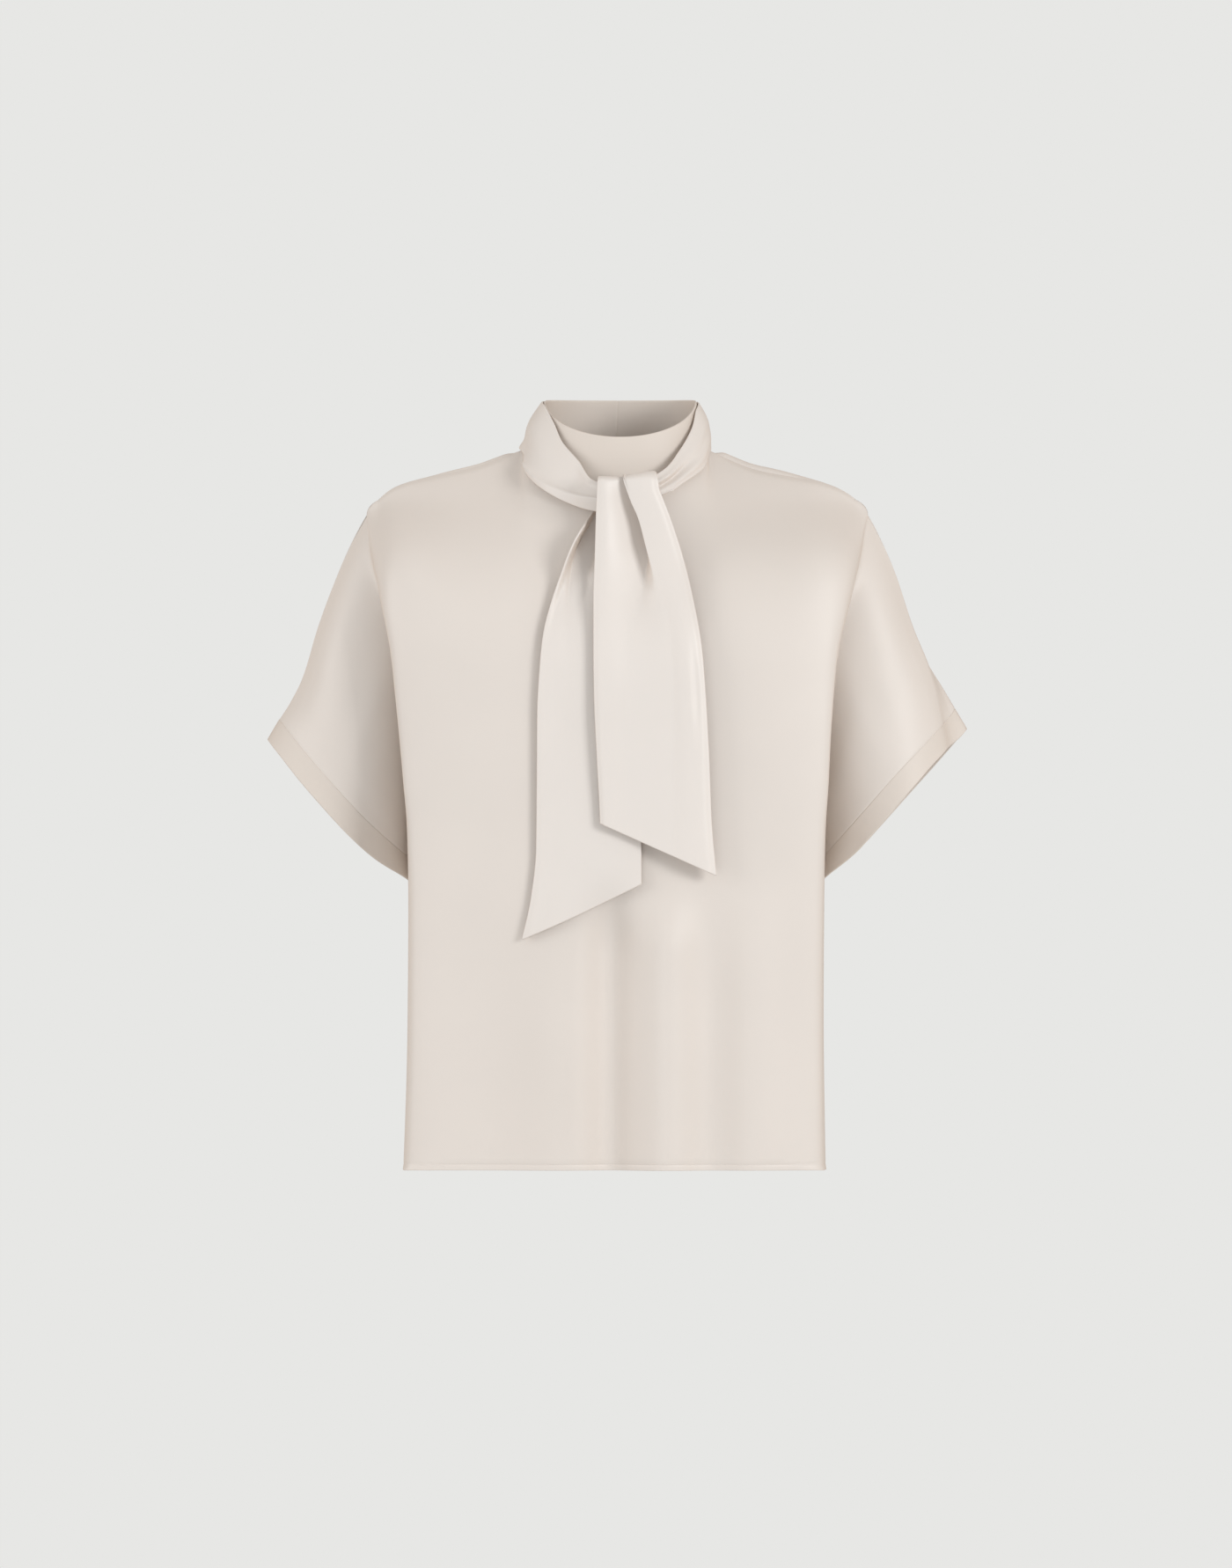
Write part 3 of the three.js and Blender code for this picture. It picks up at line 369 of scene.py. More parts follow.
def shell_point(side, hand, top, bearing, z):
    """The body from a seam point down: it swings out to the oval of its height, whose
    depth is a power of the bearing's cosine, over a run below the seam."""
    drop = top[..., 2] - z
    crest_x = at_height(CREST[side], hand, z)
    crest_depth = at_height(CREST[side], "depth", z)
    middle = at_height(MIDDLE_DEPTH[side], "depth", z)
    reach = mix(np.abs(top[..., 0]), crest_x * np.sin(bearing), smooth(drop / SWING_RUN))
    full = crest_depth + (middle - crest_depth) * np.maximum(0, np.cos(bearing)) ** SHELL_POWER
    outer = smooth((bearing - NECK_BEARING) / (math.pi / 2 - NECK_BEARING))
    grown = 1 - (1 - np.clip(drop / mix(CHEST_RUN, CREST_RUN, outer), 0, 1)) ** CHEST_EASE
    x = (-1 if hand == "left" else 1) * reach
    beside = smooth((bearing - NECK_BEARING) / SHOULDER_ROUND["bearing"])
    fading = np.exp(-np.maximum(drop, 0) / SHOULDER_ROUND["fade"])
    rounding = SHOULDER_ROUND["out"] * smooth(drop / SHOULDER_ROUND["run"]) * fading * beside
    depth = mix(SIGN[side] * top[..., 1], full, grown) + rounding + fold_push(side, x, z)
    return np.stack([x, SIGN[side] * depth, z], axis=-1)


def crease_point(side, hand, z):
    """The crease behind the drape fold, which goes on down as the side seam."""
    top = seam_top(hand, np.full_like(z, 2.0))
    flip = -1 if hand == "left" else 1
    going = smooth((top[..., 2] - z) / CREASE_START)
    x = mix(np.abs(top[..., 0]), at_height(CREASE, "out", z), going)
    depth = at_height(CREASE, "depth", z)
    start = mix(top[..., 1], SIGN[side] * CREASE["depth"][1], going)
    y = np.where(z > CREASE["z"][1], start, SIGN[side] * depth)
    return np.stack([flip * x, y, z], axis=-1)


def sleeve_point(side, hand, out, down):
    """The sleeve: a patch blended from its four edges, out from the crease to the
    sleeve's end and down from the seam over the arm to the one under it."""
    flip = np.array([-1.0 if hand == "left" else 1.0, 1.0, 1.0])
    one = np.ones_like(out)
    zero = np.zeros_like(out)

    def over(t):
        """Its upper edge, along the seam over the arm."""
        return along_line(overarm(hand), t, ARM_START) * flip

    def end(t):
        """Its outer edge: the sleeve's end line, which stands out as a power of a sine."""
        p = along_line(SLEEVE_LINES[side, hand], t) * flip
        tip = over(one)[..., 1]
        full = SLEEVE_FULL * np.abs(np.sin(math.pi * t)) ** SLEEVE_ROUND
        p[..., 1] = mix(tip, 0, t) + SIGN[side] * full
        return p

    def crease(t):
        """Its inner edge, down the crease."""
        return crease_point(side, hand, mix(over(zero)[..., 2], UNDERARM_Z, t))

    o, d = out[..., None], down[..., None]
    under = mix(crease(one), end(one), o)
    far = o ** SLEEVE_HOLD
    edges = over(out) * (1 - d) + under * d + crease(down) * (1 - far) + end(down) * far
    corners = (
        over(zero) * (1 - far) * (1 - d) + over(one) * far * (1 - d)
        + crease(one) * (1 - far) * d + end(one) * far * d)
    point = edges - corners
    point[..., 1] += SIGN[side] * SLEEVE_BULGE * np.sin(math.pi * out) * np.sin(math.pi * down)
    return point


def row_height(top_z, row):
    """Rows run evenly down to the underarm, then evenly down to the hem."""
    upper = mix(top_z, UNDERARM_Z, np.clip(row / UPPER_ROWS, 0, 1))
    lower = mix(UNDERARM_Z, HEM_Z, (row - UPPER_ROWS) / LOWER_ROWS)
    return np.where(row <= UPPER_ROWS, upper, lower)


def ridge_lift(side, hand, cells, row):
    """Rise of the back behind the shoulder seam: up to the ridge row, then fading."""
    if side == "front":
        return np.zeros_like(cells * row)
    share = (cells - HALF_NECK_CELLS) / SHOULDER_CELLS
    up = np.sin(math.pi / 2 * np.clip(row / RIDGE["row"], 0, 1))
    fade = np.where(row <= RIDGE["row"], up, np.exp((RIDGE["row"] - row) / RIDGE["fade"]))
    along = smooth(share * RIDGE["start"]) * (1 - smooth((share - RIDGE["end"]) / RIDGE["going"]))
    return along * RIDGE[hand] * fade


def panel_points(side, hand, cells, row):
    """Half a panel, for cells counted out from the middle and rows counted down."""
    flip = -1 if hand == "left" else 1
    top = column_top(side, hand, np.minimum(cells, TO_CREASE))
    z = row_height(top[..., 2], row)
    body = shell_point(side, hand, top, bearing_of(cells), z)
    beyond = np.clip((cells - TO_CREST) / FOLD_CELLS, 0, 1)
    wall = mix(body, crease_point(side, hand, z), beyond[..., None])
    wall[..., 0] += flip * WALL_BULGE * np.sin(math.pi * beyond) * smooth(row / WALL_ROWS)
    point = np.where((cells <= TO_CREST)[..., None], body, wall)
    point[..., 2] += ridge_lift(side, hand, cells, row)
    out = np.clip((cells - TO_CREASE) / SLEEVE_CELLS, 0, 1)
    sleeve = sleeve_point(side, hand, out, np.clip(row / UPPER_ROWS, 0, 1))
    point = np.where((cells > TO_CREASE)[..., None], sleeve, point)
    on_seam = np.stack([flip * np.abs(top[..., 0]), top[..., 1], top[..., 2]], axis=-1)
    return np.where(((row <= 0) & (cells < TO_CREASE))[..., None], on_seam, point)


# ---------------------------------------------------------------- meshes


RIM_STEPS = 3          # strips of the rounded rim


def make_wall(name, points, thickness, cloth=None, ring=False, flip=1.0, normals=None):
    """Closed wall on a grid of points in millimetres: the grid is its outer face, the
    inner face lies a thickness behind it, and a rounded rim joins them along the edges."""
    rows, cols = points.shape[:2]
    if cloth is None:
        cloth = np.ones((rows - 1, cols - 1), bool)
    if normals is None:
        normals = ring_normals(points, flip) if ring else grid_normals(points, flip)
    index = np.arange(rows * cols).reshape(rows, cols)
    if ring:
        index[:, -1] = index[:, 0]
    a, b = index[:-1, :-1][cloth], index[:-1, 1:][cloth]
    d, c = index[1:, :-1][cloth], index[1:, 1:][cloth]
    faces = np.stack([a, d, c, b], axis=1) if flip > 0 else np.stack([a, b, c, d], axis=1)
    outer = points.reshape(-1, 3)
    normal = normals.reshape(-1, 3)
    count = len(outer)
    edge_from = faces.ravel()
    edge_to = np.roll(faces, -1, axis=1).ravel()
    forward = edge_from.astype(np.int64) * count + edge_to
    backward = edge_to.astype(np.int64) * count + edge_from
    border = ~np.isin(forward, backward)
    rim_from, rim_to = edge_from[border], edge_to[border]
    # The rim's rounding is pushed out of the cloth, square to the edge and the normal.
    push = np.zeros((count, 3))
    step = outer[rim_to] - outer[rim_from]
    away = unit(np.cross(step, normal[rim_from] + normal[rim_to]))
    np.add.at(push, rim_from, away)
    np.add.at(push, rim_to, away)
    push = unit(push)
    rings = [outer]
    for k in range(1, RIM_STEPS):
        angle = math.pi * k / RIM_STEPS
        depth = thickness * (1 - math.cos(angle)) / 2
        rings.append(outer - normal * depth + push * (thickness / 2) * math.sin(angle))
    rings.append(outer - normal * thickness)
    quads = [faces, faces[:, ::-1] + RIM_STEPS * count]
    for k in range(RIM_STEPS):
        quads.append(np.stack([
            rim_to + k * count, rim_from + k * count,
            rim_from + (k + 1) * count, rim_to + (k + 1) * count], axis=1))
    return make_mesh(name, np.concatenate(rings) * MM, np.concatenate(quads))


def ring_normals(points, flip):
    """Normals of a grid whose last column is its first one."""
    wide = np.concatenate([points[:, -2:-1], points, points[:, 1:2]], axis=1)
    return grid_normals(wide, flip)[:, 1:-1]


def put_object(name, data):
    """A new object of the scene that shows the data."""
    obj = bpy.data.objects.new(name, data)
    bpy.context.scene.collection.objects.link(obj)
    return obj


def make_mesh(name, verts, quads):
    """A mesh object from arrays, without the points that no face uses, shaded smooth."""
    used, quads = np.unique(quads, return_inverse=True)
    verts = verts[used]
    quads = quads.reshape(-1, 4)
    mesh = bpy.data.meshes.new(name)
    mesh.vertices.add(len(verts))
    mesh.vertices.foreach_set("co", verts.astype(np.float32).ravel())
    mesh.loops.add(quads.size)
    mesh.loops.foreach_set("vertex_index", quads.astype(np.int32).ravel())
    mesh.polygons.add(len(quads))
    mesh.polygons.foreach_set("loop_start", np.arange(0, quads.size, 4, dtype=np.int32))
    mesh.update(calc_edges=True)
    mesh.polygons.foreach_set("use_smooth", np.ones(len(quads), bool))
    mesh.validate()
    return put_object(name, mesh)


# ---------------------------------------------------------------- front and back panels


def near_ends(values, first=(), last=()):
    """Adds lines a small way inside the two ends of a rising list of parameters."""
    extra = [values[0] + v for v in first] + [values[-1] - v for v in last]
    return np.unique(np.round(np.concatenate([values, extra]), 6))


# Fine rows and columns, closer together beside each seam and at the hem's stitching.
UPPER = near_ends(
    np.linspace(0, UPPER_ROWS, UPPER_ROWS * FINE_DOWN + 1),
    (0.02, 0.045, 0.075, 0.1, 0.18), (0.03, 0.07))
LOWER_FINE = np.linspace(UPPER_ROWS, UPPER_ROWS + LOWER_ROWS, LOWER_ROWS * FINE_DOWN + 1)
HEM_LINES = (0.012, 0.035, 0.07, 0.095, 0.105, 0.115, 0.13)
LOWER = near_ends(LOWER_FINE, (), HEM_LINES)
ROWS = np.concatenate([UPPER, LOWER[1:]])
BODY = near_ends(
    np.linspace(0, TO_CREASE, TO_CREASE * FINE_ACROSS + 1), (0.055,), (0.04, 0.1, 0.17))
SLEEVE = near_ends(
    np.linspace(TO_CREASE, HALF_CELLS, SLEEVE_CELLS * FINE_ACROSS + 1),
    (), (0.02, 0.06, 0.12, 0.2))
CELLS = np.concatenate([BODY, SLEEVE[1:]])
UNDER = len(UPPER) - 1  # fine row of the underarm
EDGE = len(BODY) - 2   # fine column of the crease, counted out from the middle
HALF = len(CELLS) - 1
FOLD_PASSES = 60
SEWN = 0.05            # points of front and back nearer than this are one point of a seam
# Line of stitching above the hem's edge: its height, how far it presses in, its width.
HEM_STITCH = dict(up=4.5, press=0.35, width=0.6)
# Places where the panels give way: round the fold's top and down its crest, beside the
# neck, and in the groove behind the fold. Column and half widths, the most it gives, the
# rows over which that grows, and how much of it is lost again over which rows.
GIVE = columns(
    "cell inner outer most start over loss fade fade_over",
    (TO_CREST + 1, 2.2, 2.6, 1, 0, 1.4, 0.93, 1.5, 2.5),
    (HALF_NECK_CELLS, 2.4, 2, 0.8, 0.3, 1.2, 1, 3, 5),
    (TO_CREASE + 0.6, 1.2, 2.2, 0.6, 1, 2, 0, 0, 1),
)
GIVE_ABOVE = dict(row=UPPER_ROWS - 3.5, over=3)     # none of them reaches the underarm
GIVE_OUTER = 1.5       # cells beside the sleeve's end over which all giving fades
# The rounded sides of the body give way too, from above the underarm down.
GIVE_SIDE = dict(
    most=0.9, start=TO_CREST - 3, over=1.5, fade=TO_CREASE - 0.9, fade_over=0.8,
    row=UPPER_ROWS - 1.5, rows=3)


def panel(side):
    """A whole panel: its left half and its right half, with a strip as wide as the
    slit between them."""
    cells, row = np.meshgrid(CELLS[1:], ROWS)
    left = panel_points(side, "left", cells, row)[:, ::-1]
    right = panel_points(side, "right", cells, row)
    left[:, -1, 0] = -SLIT_HALF
    right[:, 0, 0] = SLIT_HALF
    whole = np.concatenate([left, right], axis=1)
    return relax(whole, soften(), FOLD_PASSES)


def soften():
    """How much each grid point gives way to its neighbours: most round the top of the
    drape fold, a little along its crest further down, again along the rounded sides of
    the body, and nothing at the seams."""
    cells, row = np.meshgrid(CELLS[1:], ROWS)
    half = np.zeros_like(cells)
    for at in rows_of(GIVE):
        give = at["most"] * bump(cells, at["cell"], at["inner"], at["outer"])
        give *= smooth((row - at["start"]) / at["over"])
        give *= 1 - at["loss"] * smooth((row - at["fade"]) / at["fade_over"])
        half = np.maximum(half, give)
    half *= 1 - smooth((row - GIVE_ABOVE["row"]) / GIVE_ABOVE["over"])
    beside = GIVE_SIDE
    side = beside["most"] * smooth((cells - beside["start"]) / beside["over"])
    side *= 1 - smooth((cells - beside["fade"]) / beside["fade_over"])
    half = np.maximum(half, side * smooth((row - beside["row"]) / beside["rows"]))
    half *= smooth((cells[0, -1] - cells) / GIVE_OUTER)
    return np.concatenate([half[:, ::-1], half], axis=1)


def panel_cloth(side):
    """Which cells of a panel's grid are cloth: none below the sleeves nor in the slit."""
    cloth = np.ones((len(ROWS) - 1, 2 * HALF - 1), bool)
    out = HALF - 1 - EDGE
    cloth[UNDER:, :out] = False
    cloth[UNDER:, -out:] = False
    if side == "back":
        cloth[: np.searchsorted(ROWS, SLIT_ROWS), HALF - 1] = False
    return cloth


def run_along(points, axis):
    """Length run along each grid line from its start."""
    steps = np.linalg.norm(np.diff(points, axis=axis), axis=-1)
    start = np.zeros_like(steps.take([0], axis=axis))
    return np.concatenate([start, np.cumsum(steps, axis=axis)], axis=axis)


def seam_sink(points):
    """How far the cloth sinks at each grid point: a bell round each seam, and the line
    of stitching above the hem."""
    down = run_along(points, 0)
    across = run_along(points, 1)
    left_edge, right_edge = HALF - 1 - EDGE, HALF + EDGE
    near = np.minimum(down, across)
    near = np.minimum(near, across[:, -1:] - across)
    body = np.zeros(points.shape[:2], bool)
    body[UNDER:, left_edge: right_edge + 1] = True
    to_side = np.minimum(
        np.abs(across - across[:, left_edge: left_edge + 1]),
        np.abs(across[:, right_edge: right_edge + 1] - across))
    near = np.where(body, np.minimum(near, to_side), near)
    sleeve = np.zeros(points.shape[:2], bool)
    sleeve[: UNDER + 1, : left_edge + 1] = True
    sleeve[: UNDER + 1, right_edge:] = True
    near = np.where(sleeve, np.minimum(near, np.abs(down[UNDER] - down)), near)
    up = points[..., 2] - HEM_Z
    stitching = HEM_STITCH["press"] * bell(up, HEM_STITCH["up"], HEM_STITCH["width"])
    return SEAM_DIP * bell(near, 0, SEAM_REACH) + stitching


front_points = panel("front")
back_points = panel("back")
front_normals = grid_normals(front_points, 1.0)
back_normals = grid_normals(back_points, -1.0)
together = np.linalg.norm(front_points - back_points, axis=-1) < SEWN
shared = unit(front_normals + back_normals)
front_normals = np.where(together[..., None], shared, front_normals)
back_normals = np.where(together[..., None], shared, back_normals)


# ---------------------------------------------------------------- collar and sleeve bands


def collar_points():
    """The collar: an upright band from its top edge down to the neck seam, open at the
    centre back. Angle runs from behind, round the left, the front and the right."""
    steps = 4 * HALF_NECK_CELLS * FINE_ACROSS
    turn = near_ends(np.linspace(-math.pi, math.pi, steps + 1), (0.01,), (0.01,))
    rise = near_ends(np.linspace(0, 1, 17), (0.012, 0.03), (0.012, 0.03))[::-1]
    angle, rise = np.meshgrid(turn, rise)
    top, base = collar_top(angle), neck_point(angle)
    lean = rise ** COLLAR_LEAN
    point = np.stack([
        mix(base[..., 0], top[..., 0], lean),
        mix(base[..., 1], top[..., 1], lean),
        mix(base[..., 2], top[..., 2], rise)], axis=-1)
    point[:, 0, 0] = -COLLAR_GAP / 2
    point[:, -1, 0] = COLLAR_GAP / 2
    return point


def band_points(hand):
    """A sleeve band: a ring that leaves the sleeve's end in the sleeve's own direction
    and hangs straight down under the arm."""
    around = np.linspace(0, 2 * UPPER_ROWS, 2 * UPPER_ROWS * FINE_DOWN + 1)
    along_it = near_ends(np.linspace(0, 1, 9), (0.02, 0.05, 0.1), (0.02, 0.05))
    step, out = np.meshgrid(around, along_it)
    ahead = step <= UPPER_ROWS
    share = np.where(ahead, step, 2 * UPPER_ROWS - step) / UPPER_ROWS

    def ring(at):
        """The sleeve's own section at a share of its length, on both its sides."""
        out_at = np.full_like(share, at)
        sides = [sleeve_point(side, hand, out_at, share) for side in ("front", "back")]
        return np.where(ahead[..., None], *sides)

    start = ring(1.0)
    way = unit(start - ring(1 - 1 / SLEEVE_CELLS))
    under = smooth((share - BAND["under"]) / (1 - BAND["under"]))
    flip = -1 if hand == "left" else 1
    way[..., 0] = mix(way[..., 0], BAND["lean"] * flip, under)
    way[..., 1] *= BAND["squeeze"]
    way[..., 2] = mix(way[..., 2], -1, under)
    return start + unit(way) * (BAND["width"] * out)[..., None]


# ---------------------------------------------------------------- the scarf

LAY_GAP = 1.2          # between a piece of cloth and the one under it
HALVINGS = 22          # times that front_face halves the columns it looks between
# How far the outer face of each tail lies from the chest where it touches it.
LAYER_LOW = {"back": LAY_GAP + DOUBLED, "front": 2 * (LAY_GAP + DOUBLED)}


def front_face(x, z):
    """Depth of the front panel's outer face at a place, by halving between its columns."""
    depth = np.zeros_like(x)
    for hand in ("left", "right"):
        low = np.zeros_like(x)
        high = np.full_like(x, float(TO_CREST))
        for _ in range(HALVINGS):
            half = (low + high) / 2
            top = column_top("front", hand, half)
            point = shell_point("front", hand, top, bearing_of(half), np.minimum(z, top[..., 2]))
            inside = np.abs(point[..., 0]) < np.abs(x)
            low = np.where(inside, half, low)
            high = np.where(inside, high, half)
        depth = np.where((x < 0) == (hand == "left"), -point[..., 1], depth)
    return depth


def around_neck(turn, out, z):
    """Place at a turn about the neck, a distance out of the collar, at a height."""
    angle = np.radians(turn)
    base, top = neck_point(angle), collar_top(angle)
    rise = np.clip((z - base[..., 2]) / (top[..., 2] - base[..., 2]), 0, 1) ** COLLAR_LEAN
    x = mix(base[..., 0], top[..., 0], rise) + out * np.sin(angle)
    y = mix(base[..., 1], top[..., 1], rise) - out * np.cos(angle)
    return np.stack([x, y, z], axis=-1)


# Pleats along the scarf round the neck: turn and half run, place down its width, half
# width and height.
WRAP_PLEATS = columns(
    "turn run at width rise",
    (20, 20, 0.10, 0.10, 1.0), (62, 26, 0.45, 0.24, 1.2),
    (338, 16, 0.30, 0.12, 2.4), (330, 18, 0.58, 0.11, -2.6), (316, 20, 0.80, 0.14, 2.6),
    (285, 18, 0.55, 0.16, -1.2), (200, 40, 0.55, 0.14, 1.2), (150, 40, 0.38, 0.12, 1.0))
# How far the lower edge flares over the shoulder at the left, past a share of the width.
WRAP_FLARE = dict(turn=94.0, run=8.0, out=3.0, past=0.78)


def wrap_points():
    """The scarf round the neck: from the knot round the left, the back and the right,
    between a top and a bottom line, bulging between them and with soft pleats."""
    turn = near_ends(np.linspace(WRAP["turn"][0], WRAP["turn"][-1], 241), (0.5,), (0.5,))
    share = near_ends(np.linspace(0, 1, 33), (0.008, 0.018), (0.008, 0.018))
    turn, share = np.meshgrid(turn, share)
    line = {name: curve_through(WRAP["turn"], WRAP[name], turn) for name in WRAP if name != "turn"}
    z = mix(line["top_z"], line["low_z"], share)
    out = mix(line["top_out"], line["low_out"], share)
    out = out + line["bulge"] * np.sin(math.pi * share)
    inside = np.sqrt(np.sin(math.pi * share))
    for pleat in rows_of(WRAP_PLEATS):
        here = bell(turn, pleat["turn"], pleat["run"]) * bell(share, pleat["at"], pleat["width"])
        out = out + pleat["rise"] * here * inside
    flare = bell(turn, WRAP_FLARE["turn"], WRAP_FLARE["run"])
    past = smooth((share - WRAP_FLARE["past"]) / (1 - WRAP_FLARE["past"]))
    out = out + WRAP_FLARE["out"] * flare * past
    return around_neck(-turn, out, z)


TAIL_HANG = {"front": 106.0, "back": 99.0}     # depth at which each tail hangs from the knot
# How far each tail comes to stand off the chest, from which height and over which drop.
TAIL_STAND = {"front": dict(out=6.0, z=-60.0, run=80.0), "back": dict(out=3.5, z=-70.0, run=90.0)}
# The pleat of the front tail at each height: the line of its hollow, the edge of the fold
# that hangs over it, and how deep the hollow is. Where the hollow's line lies right of
# the edge, the fold covers it.
FRONT_PLEAT = columns(
    "z hollow edge depth",
    (-20, 8, 5, 4), (-27, 10, 6, 6), (-45, 17, 11.5, 12), (-63, 24.5, 19, 16), (-78, 27.5, 23, 17),
    (-91, 28, 26.5, 15), (-105, 25, 31, 12), (-130, 19, 40, 8.5), (-150, 15, 45, 5.5),
    (-175, 12, 47, 3.0), (-205, 9, 48, 1.2), (-380, 8, 48, 0.5),
)
LEFT_LOBE = 0.36       # share of the tail's columns left of the hollow
RIGHT_LOBE = 0.54      # and up to the edge of the fold over it
# The hollow at the top of the back tail, beside its rolled edge.
BACK_HOLLOW = columns(
    "z x depth left right roll",
    (-50, -12, 12, 3, 10, 1), (-60, -17, 18, 4, 13, 6), (-68, -21, 24, 4, 14, 9),
    (-76, -25, 27, 4.5, 14, 10.5), (-85, -28.5, 27, 4.5, 13, 10.5), (-98, -32, 23, 4.5, 11.5, 8.5),
    (-108, -33, 13, 5, 10, 6), (-122, -34.5, 6, 7, 14, 4), (-145, -37, 3, 11, 20, 2.4),
    (-175, -39, 1.8, 15, 22, 1.5), (-210, -40, 1, 18, 24, 1), (-430, -40, 0, 24, 24, 0),
)
ROLL_WIDTH = 2.8       # half width of the roll
# The back tail comes from under the scarf round the neck: its depth there, the height
# where it leaves it, and the drop over which it comes forward.
BACK_TAIL_START = dict(depth=86.0, z=-53.0, run=20.0)
# Soft waves of the tails: place across, height, half sizes and rise.
TAIL_WAVES = {
    "front": columns(
        "at z wide tall rise",
        (0.18, -190, 0.18, 70, 1.2), (0.88, -208, 0.06, 34, -1.2), (0.72, -180, 0.14, 60, 0.9),
        (0.52, -262, 0.20, 50, -1.0), (0.14, -310, 0.14, 45, 0.8), (0.70, -335, 0.26, 40, 0.8)),
    "back": columns(
        "at z wide tall rise",
        (0.16, -200, 0.16, 80, 1.2), (0.50, -245, 0.20, 50, -1.4), (0.30, -330, 0.20, 60, 1.0),
        (0.12, -388, 0.12, 40, -0.9), (0.70, -372, 0.24, 40, 0.9)),
}
TURN_LIFT = 2.2        # the front tail runs over the knot this far outside it
# The front tail over the knot: the part of the knot's turn that it follows, the share of
# that over which its pleat opens, and where it has come level with the front.
OVER_KNOT = dict(start=0.12, stop=0.97, opening=0.5, level=0.25, level_run=0.6, rise=0.6)
# The turn's left side lies lower than its right one, most of all half way over it.
TURN_SLOPE = dict(low=4.5, rise=5.0, x=2.0, run=34.0)
TURN_BELL = (0.5, 0.3)         # centre and half width of that, as shares of the turn
# The front tail below the knot: how far its top edge lies under the table's first row,
# how it bends softly where it comes to lie on the chest, the drop over which it does,
# and the place and width over which its lower edge slants.
FRONT_HANG = dict(top=1.5, back=3.5, bend=17.0, run=30.0, edge=-15.0, width=98.0)
BACK_BEND = 6.0        # the same soft bend of the back tail
# The tails' long edges curl back: how far at the front tail's left and right, and at the
# back tail's left, and the shares of the width over which the left and right ones do.
CURL = dict(left=1.3, right=1.6, back=1.2, left_run=0.03, right_run=0.05)
LOBE_BULGE = 1.6       # the right lobe of the front tail bulges forward by this much
HOLLOW_START = (0.1, 0.95)     # share of the left lobe where the hollow starts, and its run
# The knot's turn under that: the margin at both edges of its width, how far it drops at
# its left and leans back as it comes down, and how far it lies inside the front tail.
KNOT = dict(margin=0.06, low=6.0, x=30.0, run=34.0, back=6.0, start=0.5, over=0.4, inside=1.0)


def soft_max(a, b, blend):
    """The larger of two depths, rounded where they meet."""
    return 0.5 * (a + b + np.sqrt((a - b) ** 2 + blend ** 2))


def blur_across(points, passes):
    """Rounds folds: each inner column moves to the mean of itself and its neighbours."""
    for _ in range(passes):
        inner = 0.25 * points[:, :-2] + 0.5 * points[:, 1:-1] + 0.25 * points[:, 2:]
        points = np.concatenate([points[:, :1], inner, points[:, -1:]], axis=1)
    return points


def tail_waves(side, across, z):
    """Sum of a tail's soft waves: a bell across times a bell down."""
    rise = np.zeros_like(across)
    for wave in rows_of(TAIL_WAVES[side]):
        here = bell(across, wave["at"], wave["wide"]) * bell(z, wave["z"], wave["tall"])
        rise += wave["rise"] * here
    return rise


def turn_line(run):
    """Depth, height and both edges of the knot's turn, at a share of its run."""
    knots = np.linspace(0, 1, len(KNOT_TURN["y"]))
    return {name: curve_through(knots, KNOT_TURN[name], run) for name in KNOT_TURN}


def lying_depth(side, x, z):
    """Depth of a tail where it lies along the chest, standing off it lower down."""
    stand = TAIL_STAND[side]
    off = LAYER_LOW[side] + stand["out"] * smooth((stand["z"] - z) / stand["run"])
    return front_face(x, z) + off


def pleated(across, left, right, z):
    """Place across the front tail and its depth behind the face: a left lobe that falls
    back into the hollow, the hidden return to the fold's edge, and the right lobe."""
    hollow = at_height(FRONT_PLEAT, "hollow", z)
    edge = at_height(FRONT_PLEAT, "edge", z)
    deep = at_height(FRONT_PLEAT, "depth", z)
    first = np.clip(across / LEFT_LOBE, 0, 1)
    back = np.clip((across - LEFT_LOBE) / (RIGHT_LOBE - LEFT_LOBE), 0, 1)
    last = np.clip((across - RIGHT_LOBE) / (1 - RIGHT_LOBE), 0, 1)
    x = np.where(across <= LEFT_LOBE, mix(left, hollow, first), mix(hollow, edge, back))
    x = np.where(across > RIGHT_LOBE, mix(edge, right, last), x)
    start, over = HOLLOW_START
    falling = smooth((first - start) / over) * deep
    sunk = np.where(across <= LEFT_LOBE, falling, (1 - smooth(back)) * deep)
    sunk = np.where(across > RIGHT_LOBE, 0, sunk)
    lobe = LOBE_BULGE * np.sin(math.pi * last) * (across > RIGHT_LOBE)
    edges = CURL["left"] * bell(across, 0, CURL["left_run"])
    edges = edges + CURL["right"] * bell(across, 1, CURL["right_run"])
    return x, sunk + edges - lobe


TAIL_ROWS = near_ends(np.linspace(0, 1, 151), (), (0.0012, 0.0026))


